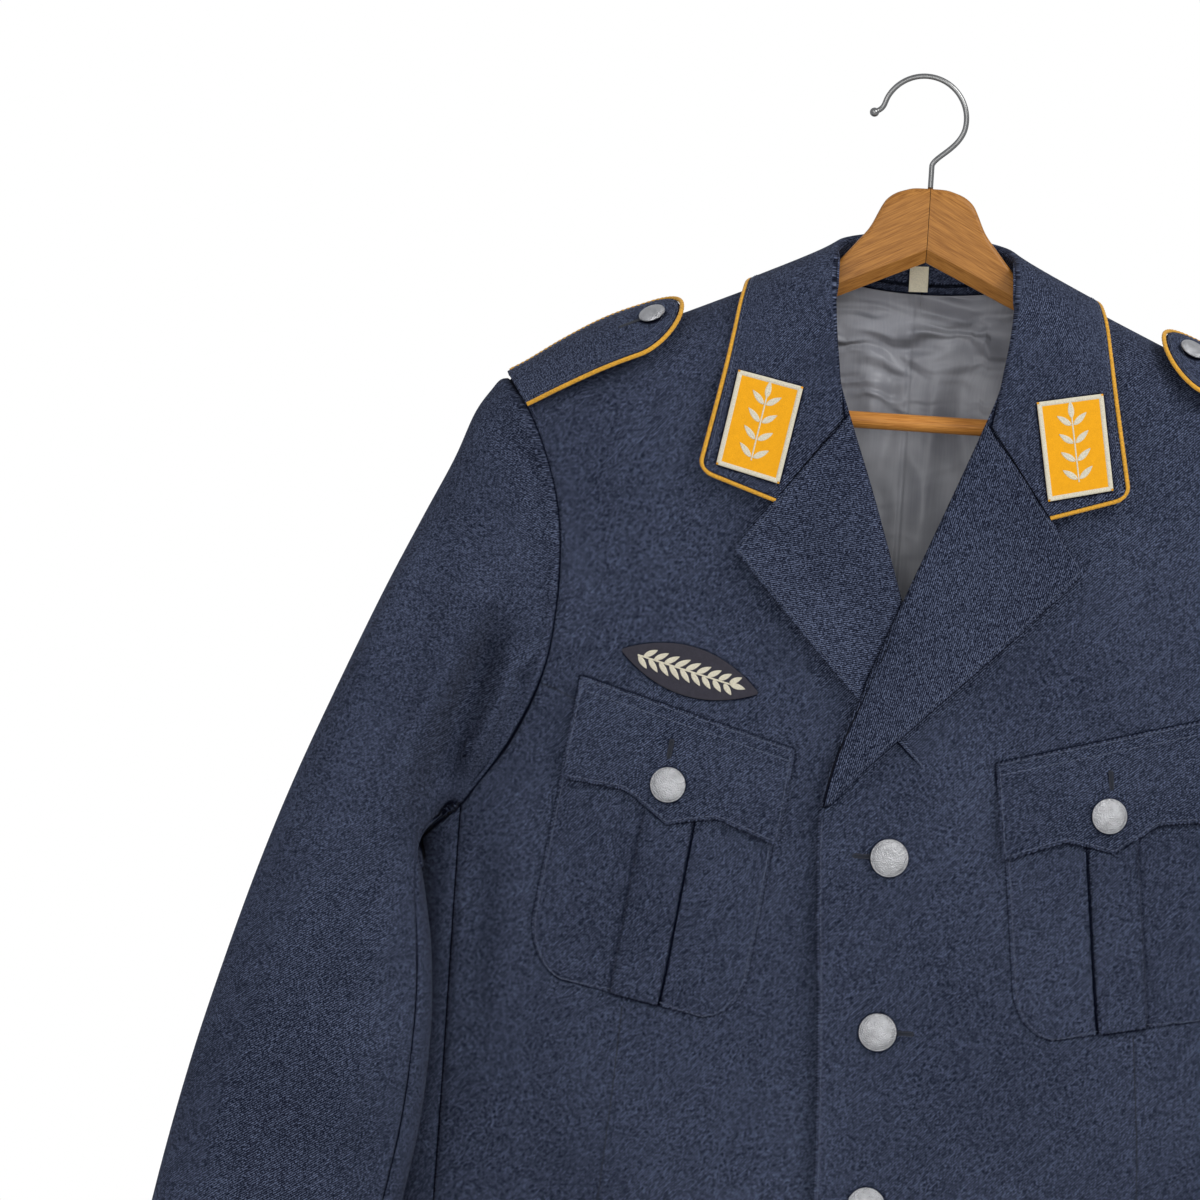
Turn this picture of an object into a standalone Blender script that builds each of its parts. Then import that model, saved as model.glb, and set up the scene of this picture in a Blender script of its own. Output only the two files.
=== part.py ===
"""Dress uniform jacket on a wooden hanger.

The jacket is single breasted, with a notched collar, shoulder boards, two chest
pockets, two-piece sleeves and four front buttons. It hangs as flat as it does on a
hanger: the origin is inside the top of the hook, +Z is up and the front faces -Y.
The wearer's left is +X, and the wearer's left front laps over the right one.
Lengths are in metres.
"""

import math

import bmesh
import bpy
from mathutils import Vector

COLLECTION_NAME = "dress_uniform"
CUTTER_COLLECTION_NAME = "dress_uniform_cutters"
SIDES = {"right": -1, "left": 1}
SHARP_ANGLE = math.radians(50)
MERGE_DISTANCE = 0.00001
CORD_ROUNDNESS = 2

# Colour, roughness and metallic share of each finish
FINISHES = {
    "blue_grey_wool": ((0.035, 0.045, 0.075), 0.90, 0.0),
    "golden_piping": ((0.78, 0.42, 0.05), 0.70, 0.0),
    "golden_patch": ((0.80, 0.45, 0.04), 0.80, 0.0),
    "dark_badge_felt": ((0.045, 0.042, 0.048), 0.95, 0.0),
    "grey_satin": ((0.16, 0.16, 0.19), 0.40, 0.0),
    "cream_label": ((0.80, 0.74, 0.52), 0.70, 0.0),
    "silver_buttons": ((0.72, 0.71, 0.68), 0.35, 1.0),
    "varnished_wood": ((0.50, 0.26, 0.08), 0.40, 0.0),
    "bright_steel": ((0.62, 0.62, 0.64), 0.25, 1.0),
}

# Cloth walls and the gaps between pieces
CLOTH = 0.0016
LINING_CLOTH = 0.0010
POCKET_CLOTH = 0.0014
TURNED_EDGE_CLOTH = 0.0022
BOARD_THICKNESS = 0.0030
PATCH_CLOTH = 0.0012
SEAM_GAP = 0.00034
LAYER_GAP = 0.00045
LAPEL_GAP = 0.0009

# Body of the jacket
NECK_POINT_X = 0.060
NECK_POINT_Z = -0.105
SHOULDER_TIP_X = 0.227
SHOULDER_TIP_Z = -0.180
SHOULDER_SLOPE = (NECK_POINT_Z - SHOULDER_TIP_Z) / (SHOULDER_TIP_X - NECK_POINT_X)
RIDGE_Y = 0.008
FRONT_SHOULDER_DROP = 0.045
BACK_SHOULDER_DROP = 0.060
BACK_NECK_Z = -0.113
HEM_Z = -0.875
SIDE_FRONT_SEAM_X = 0.238
SIDE_BACK_SEAM_X = 0.220
ARMHOLE_FRONT_Z = -0.418
ARMHOLE_BACK_Z = -0.412
UNDERARM_Z = -0.436
SECTION_POWER = 2.4
WIDEST_SHARE = 0.999
SLOPE_REACH = 0.0002


class Table:
    """Rows of named columns, read at any value of the first column along a smooth curve."""

    def __init__(self, columns, *rows):
        self.columns = columns.split()
        self.rows = sorted(rows)
        self.keys = [row[0] for row in self.rows]

    def slope(self, index, place):
        low = max(index - 1, 0)
        high = min(index + 1, len(self.rows) - 1)
        rise = self.rows[high][place] - self.rows[low][place]
        return rise / (self.keys[high] - self.keys[low])

    def at(self, key, column):
        place = self.columns.index(column)
        key = min(max(key, self.keys[0]), self.keys[-1])
        low = 0
        while low < len(self.keys) - 2 and self.keys[low + 1] <= key:
            low += 1
        span = self.keys[low + 1] - self.keys[low]
        part = (key - self.keys[low]) / span
        start = self.rows[low][place]
        end = self.rows[low + 1][place]
        leave = self.slope(low, place) * span
        arrive = self.slope(low + 1, place) * span
        rest = 1 - part
        return (
            rest * rest * (1 + 2 * part) * start
            + rest * rest * part * leave
            + part * part * (3 - 2 * part) * end
            - part * part * rest * arrive
        )


# Half width and the depths before and behind the shoulder ridge, at each height
BODY = Table(
    "z half_width front_depth back_depth",
    (-0.080, 0.300, 0.046, 0.024),
    (-0.180, 0.285, 0.046, 0.028),
    (-0.300, 0.268, 0.048, 0.030),
    (-0.436, 0.258, 0.050, 0.029),
    (-0.500, 0.258, 0.048, 0.026),
    (-0.560, 0.260, 0.047, 0.025),
    (-0.637, 0.268, 0.048, 0.028),
    (-0.720, 0.275, 0.051, 0.032),
    (-0.800, 0.284, 0.055, 0.036),
    (-0.875, 0.292, 0.058, 0.039),
)

# Armhole edges of the front and of the back
ARMHOLE = Table(
    "z front_x back_x",
    (-0.180, 0.227, 0.227),
    (-0.196, 0.216, 0.217),
    (-0.214, 0.207, 0.209),
    (-0.239, 0.198, 0.203),
    (-0.266, 0.193, 0.200),
    (-0.301, 0.192, 0.199),
    (-0.340, 0.197, 0.201),
    (-0.380, 0.213, 0.208),
    (-0.412, 0.234, 0.220),
    (-0.418, 0.238, 0.223),
)

# Inner edge of each front: neck edge, roll line down to the break, then front edge
FRONT_EDGE = Table(
    "z left_x right_x",
    (-0.105, 0.0600, 0.0600),
    (-0.112, 0.0555, 0.0555),
    (-0.123, 0.0515, 0.0515),
    (-0.145, 0.0480, 0.0480),
    (-0.170, 0.0440, 0.0440),
    (-0.193, 0.0360, 0.0360),
    (-0.232, 0.0210, 0.0215),
    (-0.292, -0.0025, 0.0010),
    (-0.344, -0.0220, -0.0170),
    (-0.380, -0.0350, -0.0270),
    (-0.410, -0.0400, -0.0310),
    (-0.450, -0.0385, -0.0320),
    (-0.528, -0.0330, -0.0320),
    (-0.620, -0.0290, -0.0320),
    (-0.875, -0.0270, -0.0320),
)
BREAK_Z = -0.410

# The underlap sinks below the front that covers it
UNDERLAP_SINK = 0.0054
UNDERLAP_OUTER_X = 0.120
UNDERLAP_INNER_X = 0.045
UNDERLAP_TOP_Z = -0.235
UNDERLAP_FULL_Z = -0.290

# Heights of the rows of the panels below the rounded shoulder
FRONT_ROWS = (
    (-0.178, -0.240),
    (-0.214, -0.266),
    (-0.253, -0.295),
    (-0.292, -0.325),
    (-0.330, -0.358),
    (-0.366, -0.390),
    (-0.392, ARMHOLE_FRONT_Z),
    (BREAK_Z, -0.436),
    (-0.440, -0.462),
    (-0.485, -0.500),
    (-0.535, -0.545),
    (-0.590, -0.595),
    (-0.650, -0.650),
    (-0.710, -0.710),
    (-0.770, -0.770),
    (-0.825, -0.825),
    (HEM_Z, HEM_Z),
)
BACK_ROWS = (
    (-0.210, -0.266),
    (-0.250, -0.295),
    (-0.290, -0.325),
    (-0.330, -0.358),
    (-0.368, -0.388),
    (ARMHOLE_BACK_Z, ARMHOLE_BACK_Z),
    (-0.455, -0.455),
    (-0.500, -0.500),
    (-0.550, -0.550),
    (-0.610, -0.610),
    (-0.680, -0.680),
    (-0.745, -0.745),
    (-0.810, -0.810),
    (HEM_Z, HEM_Z),
)
SHOULDER_ANGLES = (0, 20, 38, 56, 73, 90)
FRONT_COLUMNS = 11
BACK_COLUMNS = 8
SIDE_COLUMNS = 6
SIDE_ROWS = 10

# Lapels, from the gorge down to the break
LAPEL_TIP_X = 0.097
LAPEL_TIP_Z = -0.267
GORGE_X = 0.041
GORGE_Z = -0.191
NOTCH_X = 0.075
NOTCH_Z = -0.238
LAPEL_END_Z = BREAK_Z + 0.004
LAPEL_ROLL_OUTSIDE = 0.0004
LAPEL_ROLL = 0.0036
LAPEL_ROLL_WIDTH = 0.75
LOWER_LAPEL_COVER = (0.15, 0.45)
UPPER_LAPEL_COVER = (0.55, 0.95)
UPPER_LAPEL_PRESS = 0.6
LAPEL_EDGE = Table(
    "down left_x left_z right_x right_z",
    (0.00, LAPEL_TIP_X, LAPEL_TIP_Z, LAPEL_TIP_X, LAPEL_TIP_Z),
    (0.35, 0.057, -0.310, 0.057, -0.310),
    (0.60, 0.021, -0.346, 0.026, -0.342),
    (0.85, -0.018, -0.385, -0.008, -0.374),
    (1.00, -0.034, -0.404, -0.024, -0.390),
)
LAPEL_ROWS = 11
LAPEL_COLUMNS = 5

# Collar, half of it: the fold and the outer edge, from the back centre to the points
COLLAR = Table(
    "along fold_x fold_y fold_z edge_x edge_y edge_z dip",
    (0.0, 0.0000, 0.0370, -0.0770, 0.0000, 0.0420, -0.1260, 0.0),
    (1.0, 0.0250, 0.0335, -0.0780, 0.0360, 0.0400, -0.1250, 0.0),
    (2.0, 0.0420, 0.0200, -0.0820, 0.0700, 0.0290, -0.1210, 0.0),
    (3.0, 0.0485, 0.0020, -0.0890, 0.0925, 0.0090, -0.1165, 0.0),
    (4.0, 0.0495, -0.0150, -0.0985, 0.0985, -0.0180, -0.1260, 0.0),
    (5.0, 0.0500, -0.0290, -0.1160, 0.1030, -0.0340, -0.1500, 0.0),
    (6.0, 0.0480, -0.0370, -0.1400, 0.1080, -0.0400, -0.1780, 0.12),
    (7.0, 0.0445, -0.0410, -0.1660, 0.1130, -0.0420, -0.2040, 0.45),
    (8.0, GORGE_X, -0.0420, GORGE_Z, 0.1170, -0.0430, -0.2240, 1.0),
)
COLLAR_STATIONS = 17
COLLAR_NOTCH_COLUMN = 3
COLLAR_CORNER = 0.55
COLLAR_END = 8.0
COLLAR_OUTER_SHARES = (0.34, 0.67, 1.0)
COLLAR_LIFT = 0.0007
COLLAR_ROLL = 0.0030
COLLAR_ROLL_WIDTH = 0.4
NECK_STATION = 3.0
NECK_ROUNDING = 0.8
STAND_END = 5.0
STAND_END_Z = -0.130
STAND_STATIONS = 13
STAND_ROWS = 4

# Sleeve rings: outer and inner points, middle, half depth and pull of the armhole's shape
SLEEVE = Table(
    "along outer_x outer_z inner_x inner_z middle_y half_depth follow",
    (1.0, 0.2335, -0.1835, 0.2605, -0.4375, 0.004, 0.034, 0.97),
    (2.0, 0.2440, -0.2000, 0.2618, -0.4390, 0.001, 0.036, 0.84),
    (3.0, 0.2540, -0.2270, 0.2620, -0.4415, -0.003, 0.038, 0.60),
    (4.0, 0.2690, -0.2600, 0.2610, -0.4445, -0.009, 0.040, 0.36),
    (5.0, 0.2880, -0.3030, 0.2595, -0.4490, -0.016, 0.041, 0.16),
    (6.0, 0.3110, -0.3600, 0.2560, -0.4570, -0.024, 0.041, 0.04),
    (7.0, 0.3300, -0.4100, 0.2520, -0.4740, -0.031, 0.040, 0.0),
    (8.0, 0.3460, -0.4580, 0.2475, -0.5010, -0.037, 0.039, 0.0),
    (9.0, 0.3610, -0.5100, 0.2450, -0.5420, -0.042, 0.038, 0.0),
    (10.0, 0.3755, -0.5660, 0.2480, -0.5950, -0.045, 0.037, 0.0),
    (11.0, 0.3890, -0.6300, 0.2580, -0.6560, -0.046, 0.035, 0.0),
    (12.0, 0.4005, -0.6990, 0.2680, -0.7210, -0.046, 0.033, 0.0),
    (13.0, 0.4120, -0.7880, 0.2790, -0.8060, -0.045, 0.030, 0.0),
)
SLEEVE_ROUNDING = 0.9
SLEEVE_RINGS = 14
SLEEVE_FRONT_SEAM = 12
SLEEVE_BACK_SEAM = 19
UNDERARM_X = 0.258
FRONT_ARMHOLE_ROWS = 7
BACK_ARMHOLE_ROWS = 6

# Largest folds of the sleeve's front: a soft trough from start to end
SLEEVE_FOLDS = (
    {"start": (0.238, -0.204), "end": (0.200, -0.242), "width": 0.011, "depth": 0.0040},
    {"start": (0.222, -0.330), "end": (0.292, -0.480), "width": 0.015, "depth": 0.0050},
    {"start": (0.262, -0.300), "end": (0.318, -0.500), "width": 0.018, "depth": 0.0035},
)
FOLD_START_FADE = (-0.10, 0.15)
FOLD_END_FADE = (0.75, 1.15)

# Chest pockets and flaps, by the corners of the whole pocket
POCKET_CORNERS = {
    "inner_top": (0.055, -0.375),
    "outer_top": (0.176, -0.342),
    "inner_bottom": (0.074, -0.530),
    "outer_bottom": (0.196, -0.506),
}
POCKET_INSET = 0.018
POCKET_TOP = 0.28
POCKET_CORNER_RADIUS = 0.20
POCKET_CORNER_WIDTH = 0.20
POCKET_CORNER_SWEEP = 0.985
POCKET_ROWS = 9
POCKET_SIDE_SHARES = (0.0, 0.33, 0.67, 1.0)
PLEAT_START = 0.42
PLEAT_END = 0.66
PLEAT_HEIGHT = 0.0012
PLEAT_EDGE = 0.035
FLAP_DEPTH = 0.375
FLAP_POINT = 0.420
FLAP_ARCH = 0.348
FLAP_ARCH_PLACE = 0.42
FLAP_POINT_CURVE = 0.85
FLAP_SIDE_CURVE = 1.2
FLAP_RISEN = POCKET_TOP - 0.04
FLAP_CORNER = 0.06
FLAP_CORNER_RISE = 0.012
FLAP_ROWS = 6
FLAP_COLUMNS = (0.0, 0.03, 0.12, 0.2, 0.29, 0.36, 0.43, 0.5, 0.57, 0.64, 0.71, 0.8, 0.88, 0.97, 1.0)
FLAP_BUTTON_DOWN = 0.285

# Shoulder boards
BOARD_LENGTH = 0.1050
BOARD_WIDTH = 0.0460
BOARD_BOW = Table(
    "along lift",
    (0.0, 0.0007),
    (0.12, 0.0022),
    (0.35, 0.0066),
    (0.60, 0.0096),
    (0.85, 0.0090),
    (1.0, 0.0070),
)
BOARD_ROWS = 9
BOARD_COLUMNS = 12
BOARD_PIPING_STEPS = 7
BOARD_BUTTON_ALONG = 0.086
BOARD_BUTTON_ACROSS = 0.020

# Piping, patches and badge
PIPING_RADIUS = 0.0010
PIPING_GAP = 0.00035
PATCH_ROWS = 6
PATCH_COLUMNS = 5
PATCH_MIDDLE_STATION = 13.5
GRID_REACH = 0.05
GRID_SEARCH_STEPS = 40
COLLAR_PATCH_CORNERS = {
    "inner_top": (0.0640, -0.1760),
    "outer_top": (0.1005, -0.1690),
    "inner_bottom": (0.0740, -0.2300),
    "outer_bottom": (0.1095, -0.2215),
}
BADGE_ROWS = 5
BADGE_COLUMNS = 11
BADGE_TAPER = 0.94
BADGE_X = 0.116
BADGE_Z = -0.336
BADGE_LENGTH = 0.078
BADGE_HEIGHT = 0.027
BADGE_TILT = math.radians(14)

# Buttons
BUTTON_STEPS = 16
BUTTON_PROFILE = (
    (0.0, 0.62),
    (0.42, 0.56),
    (0.74, 0.42),
    (0.94, 0.25),
    (1.0, 0.16),
    (0.93, 0.10),
    (0.34, 0.10),
    (0.34, 0.0),
    (0.0, 0.0),
)
FRONT_BUTTON_DIAMETER = 0.0210
FLAP_BUTTON_DIAMETER = 0.0195
BOARD_BUTTON_DIAMETER = 0.0150
FRONT_BUTTON_TOP_Z = -0.431
FRONT_BUTTON_PITCH = 0.096
FRONT_BUTTON_COUNT = 4

# Lining and label
LINING_GAP = 0.0009
LINING_HEM = 0.35
LABEL_X = -0.0065
LABEL_THICKNESS = 0.0007
LABEL_TOP_Y = 0.0292
LABEL_BOTTOM_Y = 0.0256
LABEL_WIDTH = 0.0106
LABEL_TOP_Z = -0.1020
LABEL_BOTTOM_Z = -0.1165

# Hanger
HANGER = Table(
    "x top_z bottom_z half_thickness",
    (0.0000, -0.0600, -0.1010, 0.0068),
    (0.0120, -0.0610, -0.1065, 0.0068),
    (0.0240, -0.0675, -0.1120, 0.0068),
    (0.0320, -0.0830, -0.1157, 0.0068),
    (0.0390, -0.0920, -0.1190, 0.0067),
    (0.0460, -0.1005, -0.1222, 0.0066),
    (0.0530, -0.1078, -0.1253, 0.0065),
    (0.0700, -0.1148, -0.1332, 0.0064),
    (0.1000, -0.1279, -0.1475, 0.0062),
    (0.1400, -0.1458, -0.1660, 0.0062),
    (0.1800, -0.1638, -0.1850, 0.0062),
    (0.2020, -0.1742, -0.1990, 0.0062),
    (0.2120, -0.1840, -0.1975, 0.0050),
)
HANGER_RING = 16
HANGER_ROUNDING = 0.45
HANGER_JOINT = 0.00016
BAR_Z = -0.1905
BAR_RADIUS = 0.0047
BAR_HALF_LENGTH = 0.2000
BAR_SIDES = 16
HOOK_WIRE_RADIUS = 0.0015
HOOK_INNER_RADIUS = 0.0220
HOOK_CENTRE_X = -0.0060
HOOK_BALL_RADIUS = 0.0026
HOOK_START_ANGLE = 176
HOOK_END_ANGLE = -38
HOOK_STEM_TOP_Z = -0.0500
HOOK_TURNS = 22
HOOK_BALL_ANGLES = (-80, -60, -38, -15, 8, 31, 52)
HOOK_BEND_SHARES = (0.25, 0.50, 0.75, 1.0)
HOOK_BEND_PULL = 0.45


def lerp(start, end, part):
    return start + (end - start) * part


def smooth(start, end, value):
    part = min(max((value - start) / (end - start), 0.0), 1.0)
    return part * part * (3 - 2 * part)


def steps(count):
    return [index / (count - 1) for index in range(count)]


def mirrored(grid, side):
    """The grid on the wearer's left, or its mirror image on the right."""
    return [[Vector((vector.x * side, vector.y, vector.z)) for vector in row] for row in grid]


# Jacket body surface


def shoulder_z(x):
    return NECK_POINT_Z - (abs(x) - NECK_POINT_X) * SHOULDER_SLOPE


def side_fullness(x, z):
    share = min(abs(x) / BODY.at(z, "half_width"), WIDEST_SHARE)
    return (1 - share**SECTION_POWER) ** (1 / SECTION_POWER)


def underlap(x, z):
    """How far the lower front sinks where the other one covers it."""
    across = 1 - smooth(UNDERLAP_INNER_X, UNDERLAP_OUTER_X, x)
    down = 1 - smooth(UNDERLAP_FULL_Z, UNDERLAP_TOP_Z, z)
    return UNDERLAP_SINK * across * down


def face_shape(face):
    if face == "back":
        return "back_depth", BACK_SHOULDER_DROP, 1
    return "front_depth", FRONT_SHOULDER_DROP, -1


def body_point(face, x, z, spread=0.0, under=False):
    """The point of the front or back over x and z, on a body made larger by spread."""
    column, shoulder_drop, direction = face_shape(face)
    depth = (BODY.at(z, column) + spread) * side_fullness(x, z)
    drop = shoulder_z(x) + spread - z
    share = min(max(drop / (shoulder_drop + spread), 0.0), 1.0)
    y = RIDGE_Y + direction * depth * math.sqrt(1 - (1 - share) ** 2)
    if under:
        y += underlap(x, z)
    return Vector((x, y, z))


def body_excess(face, point, under):
    """Zero on the body's surface and more outside it."""
    column, shoulder_drop, _ = face_shape(face)
    depth = BODY.at(point.z, column) * side_fullness(point.x, point.z)
    y = point.y - (underlap(point.x, point.z) if under else 0.0)
    share = min((shoulder_z(point.x) - point.z) / shoulder_drop, 1.0)
    return ((y - RIDGE_Y) / depth) ** 2 + (1 - share) ** 2


def body_normal(face, point, under=False):
    gradient = []
    for axis in range(3):
        ahead = point.copy()
        behind = point.copy()
        ahead[axis] += SLOPE_REACH
        behind[axis] -= SLOPE_REACH
        gradient.append(body_excess(face, ahead, under) - body_excess(face, behind, under))
    return Vector(gradient).normalized()


def section_point(z, angle):
    """A point round the side of the body: 0 is the front centre and 180 degrees the back."""
    face = "front" if angle < math.pi / 2 else "back"
    column, _, direction = face_shape(face)
    x = BODY.at(z, "half_width") * math.sin(angle) ** (2 / SECTION_POWER)
    reach = abs(math.cos(angle)) ** (2 / SECTION_POWER)
    return Vector((x, RIDGE_Y + direction * BODY.at(z, column) * reach, z))


def section_angle(face, x, z):
    angle = math.asin(min(x / BODY.at(z, "half_width"), 1.0) ** (SECTION_POWER / 2))
    return angle if face == "front" else math.pi - angle


def on_front(x, z, under=False):
    point = body_point("front", x, z, under=under)
    return point, body_normal("front", point, under)


# Grids of the panels


def front_inner_x(side_name):
    return lambda z: FRONT_EDGE.at(z, side_name + "_x")


def front_outer_x(z):
    if z < ARMHOLE_FRONT_Z:
        return SIDE_FRONT_SEAM_X
    return ARMHOLE.at(z, "front_x")


def back_outer_x(z):
    if z < ARMHOLE_BACK_Z:
        return SIDE_BACK_SEAM_X
    return ARMHOLE.at(z, "back_x")


def back_top_z(x):
    if x > NECK_POINT_X:
        return shoulder_z(x)
    return lerp(BACK_NECK_Z, NECK_POINT_Z, (x / NECK_POINT_X) ** 2)


def settled(edge_x, top_z, drop, start_x):
    """Where the line that runs drop below the top meets the edge."""
    x = start_x
    for _ in range(12):
        x = edge_x(top_z(x) - drop)
    return x


def panel_grid(face, inner_x, outer_x, top_z, rows, columns, inner_start_x, under=False):
    """Points and normals over a panel, round the shoulder first and then down its rows."""
    shoulder_drop = face_shape(face)[1]
    places = []
    for angle in SHOULDER_ANGLES:
        drop = shoulder_drop * (1 - math.cos(math.radians(angle)))
        start_x = settled(inner_x, top_z, drop, inner_start_x)
        end_x = settled(outer_x, top_z, drop, SHOULDER_TIP_X)
        across = [lerp(start_x, end_x, part) for part in steps(columns)]
        places.append([(x, top_z(x) - drop) for x in across])
    for inner_z, outer_z in rows:
        start_x = inner_x(inner_z)
        end_x = outer_x(outer_z)
        places.append(
            [(lerp(start_x, end_x, part), lerp(inner_z, outer_z, part)) for part in steps(columns)]
        )
    points = [[body_point(face, x, z, under=under) for x, z in row] for row in places]
    normals = [[body_normal(face, point, under) for point in row] for row in points]
    return points, normals


def front_grid(side_name):
    under = side_name == "right"
    return panel_grid(
        "front",
        front_inner_x(side_name),
        front_outer_x,
        shoulder_z,
        FRONT_ROWS,
        FRONT_COLUMNS,
        NECK_POINT_X,
        under,
    )


def back_grid():
    return panel_grid(
        "back", lambda z: SEAM_GAP / 2, back_outer_x, back_top_z, BACK_ROWS, BACK_COLUMNS, 0.0
    )


def side_top_z(angle):
    """Height of the armhole's bottom round the side."""
    quarter = math.pi / 2
    if angle < quarter:
        edge_angle = section_angle("front", SIDE_FRONT_SEAM_X, ARMHOLE_FRONT_Z)
        edge_z = ARMHOLE_FRONT_Z
    else:
        edge_angle = section_angle("back", SIDE_BACK_SEAM_X, ARMHOLE_BACK_Z)
        edge_z = ARMHOLE_BACK_Z
    share = (angle - quarter) / (edge_angle - quarter)
    return lerp(UNDERARM_Z, edge_z, share**2)


def side_grid():
    """Points and normals of the panel under the arm, from its front seam to its back seam."""
    points = []
    for down in steps(SIDE_ROWS):
        row = []
        for part in steps(SIDE_COLUMNS):
            z = ARMHOLE_FRONT_Z
            for _ in range(4):
                front_angle = section_angle("front", SIDE_FRONT_SEAM_X + SEAM_GAP, z)
                back_angle = section_angle("back", SIDE_BACK_SEAM_X + SEAM_GAP, z)
                angle = lerp(front_angle, back_angle, part)
                z = lerp(side_top_z(angle), HEM_Z, down**1.2)
            row.append(section_point(z, angle))
        points.append(row)
    normals = []
    for row in points:
        normals.append(
            [body_normal("front" if point.y < RIDGE_Y else "back", point) for point in row]
        )
    return points, normals


def grid_normals(grid, toward):
    """Normals of a grid of points, turned so that the first one points the way given."""
    rows = len(grid)
    columns = len(grid[0])
    normals = []
    for row in range(rows):
        line = []
        for column in range(columns):
            down = grid[min(row + 1, rows - 1)][column] - grid[max(row - 1, 0)][column]
            across = grid[row][min(column + 1, columns - 1)] - grid[row][max(column - 1, 0)]
            line.append(across.cross(down).normalized())
        normals.append(line)
    if normals[0][0].dot(toward) < 0:
        normals = [[-normal for normal in line] for line in normals]
    return normals


# Making objects


def material(name):
    colour, roughness, metallic = FINISHES[name]
    made = bpy.data.materials.new(name)
    made.use_nodes = True
    shader = made.node_tree.nodes["Principled BSDF"]
    shader.inputs["Base Color"].default_value = (*colour, 1.0)
    shader.inputs["Roughness"].default_value = roughness
    shader.inputs["Metallic"].default_value = metallic
    made.diffuse_color = (*colour, 1.0)
    return made


def add_object(name, data, surface, collection):
    made = bpy.data.objects.new(name, data)
    made.data.materials.append(surface)
    collection.objects.link(made)
    return made


def add_mesh(name, mesh, surface, collection):
    """An object from a bmesh, with its faces turned outwards."""
    bmesh.ops.recalc_face_normals(mesh, faces=mesh.faces)
    data = bpy.data.meshes.new(name)
    mesh.to_mesh(data)
    mesh.free()
    data.shade_smooth()
    data.set_sharp_from_angle(angle=SHARP_ANGLE)
    return add_object(name, data, surface, collection)


def border(rows, columns):
    """Places round the edge of a grid, in order."""
    top = [(0, column) for column in range(columns)]
    right = [(row, columns - 1) for row in range(1, rows)]
    bottom = [(rows - 1, column) for column in range(columns - 2, -1, -1)]
    left = [(row, 0) for row in range(rows - 2, 0, -1)]
    return top + right + bottom + left


def add_shell(name, grid, normals, low, high, surface, collection, relief=None):
    """A closed wall of cloth from low to high above a grid, its outer side raised by the relief."""
    rows = len(grid)
    columns = len(grid[0])
    mesh = bmesh.new()
    layers = []
    for height in (high, low):
        layer = {}
        for row in range(rows):
            for column in range(columns):
                extra = relief[row][column] if relief and height == high else 0.0
                place = grid[row][column] + normals[row][column] * (height + extra)
                layer[row, column] = mesh.verts.new(place)
        layers.append(layer)
    for layer in layers:
        for row in range(rows - 1):
            for column in range(columns - 1):
                corners = ((row, column), (row + 1, column), (row + 1, column + 1), (row, column + 1))
                mesh.faces.new([layer[corner] for corner in corners])
    edge = border(rows, columns)
    for start, end in zip(edge, edge[1:] + edge[:1]):
        mesh.faces.new((layers[0][start], layers[0][end], layers[1][end], layers[1][start]))
    return add_mesh(name, mesh, surface, collection)


def add_tube(name, points, radius, surface, collection, radii=None):
    """A round cord or wire along a line of points."""
    curve = bpy.data.curves.new(name, "CURVE")
    curve.dimensions = "3D"
    curve.bevel_depth = radius
    curve.bevel_resolution = CORD_ROUNDNESS
    curve.use_fill_caps = True
    spline = curve.splines.new("POLY")
    spline.points.add(len(points) - 1)
    for index, point in enumerate(points):
        spline.points[index].co = (*point, 1.0)
        spline.points[index].radius = radii[index] if radii else 1.0
    return add_object(name, curve, surface, collection)


def add_button(name, place, normal, diameter, surface, collection):
    """A domed button with a short shank, turned about its own axis."""
    radius = diameter / 2
    mesh = bmesh.new()
    points = []
    for across, up in BUTTON_PROFILE:
        points.append(mesh.verts.new((across * radius, 0.0, up * radius)))
    for start, end in zip(points, points[1:]):
        mesh.edges.new((start, end))
    data = bpy.data.meshes.new(name)
    mesh.to_mesh(data)
    mesh.free()
    button = add_object(name, data, surface, collection)
    turning = button.modifiers.new("Turned dome", "SCREW")
    turning.steps = BUTTON_STEPS
    turning.render_steps = BUTTON_STEPS
    turning.use_merge_vertices = True
    turning.merge_threshold = MERGE_DISTANCE
    turning.use_smooth_shade = True
    button.location = place + normal * LAYER_GAP
    button.rotation_mode = "QUATERNION"
    button.rotation_quaternion = normal.to_track_quat("Z", "Y")
    return button


# Pieces of the jacket


def add_panels(cloth, collection):
    for side_name, side in SIDES.items():
        grids = {"front": front_grid(side_name), "back": back_grid(), "side": side_grid()}
        for piece, made in grids.items():
            points, normals = (mirrored(grid, side) for grid in made)
            add_shell(f"{piece}_{side_name}", points, normals, -CLOTH, 0.0, cloth, collection)


def lapel_grid(side_name):
    """The turned-back lapel: each row runs from the roll line to the outer edge."""
    under = side_name == "right"
    points = []
    normals = []
    for down in steps(LAPEL_ROWS):
        roll_z = lerp(GORGE_Z, LAPEL_END_Z, down)
        roll_x = FRONT_EDGE.at(roll_z, side_name + "_x") + LAPEL_ROLL_OUTSIDE
        edge_x = LAPEL_EDGE.at(down, side_name + "_x")
        edge_z = LAPEL_EDGE.at(down, side_name + "_z")
        if under:
            covered = smooth(*LOWER_LAPEL_COVER, down)
        else:
            covered = UPPER_LAPEL_PRESS * smooth(*UPPER_LAPEL_COVER, down)
        row = []
        row_normals = []
        for part in steps(LAPEL_COLUMNS):
            x = lerp(roll_x, edge_x, part)
            z = lerp(roll_z, edge_z, part)
            point, normal = on_front(x, z, under)
            roll = LAPEL_ROLL * (1 - covered) * math.sin(math.pi * min(part / LAPEL_ROLL_WIDTH, 1.0))
            row.append(point + normal * (LAPEL_GAP + roll))
            row_normals.append(normal)
        points.append(row)
        normals.append(row_normals)
    return points, normals


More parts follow.
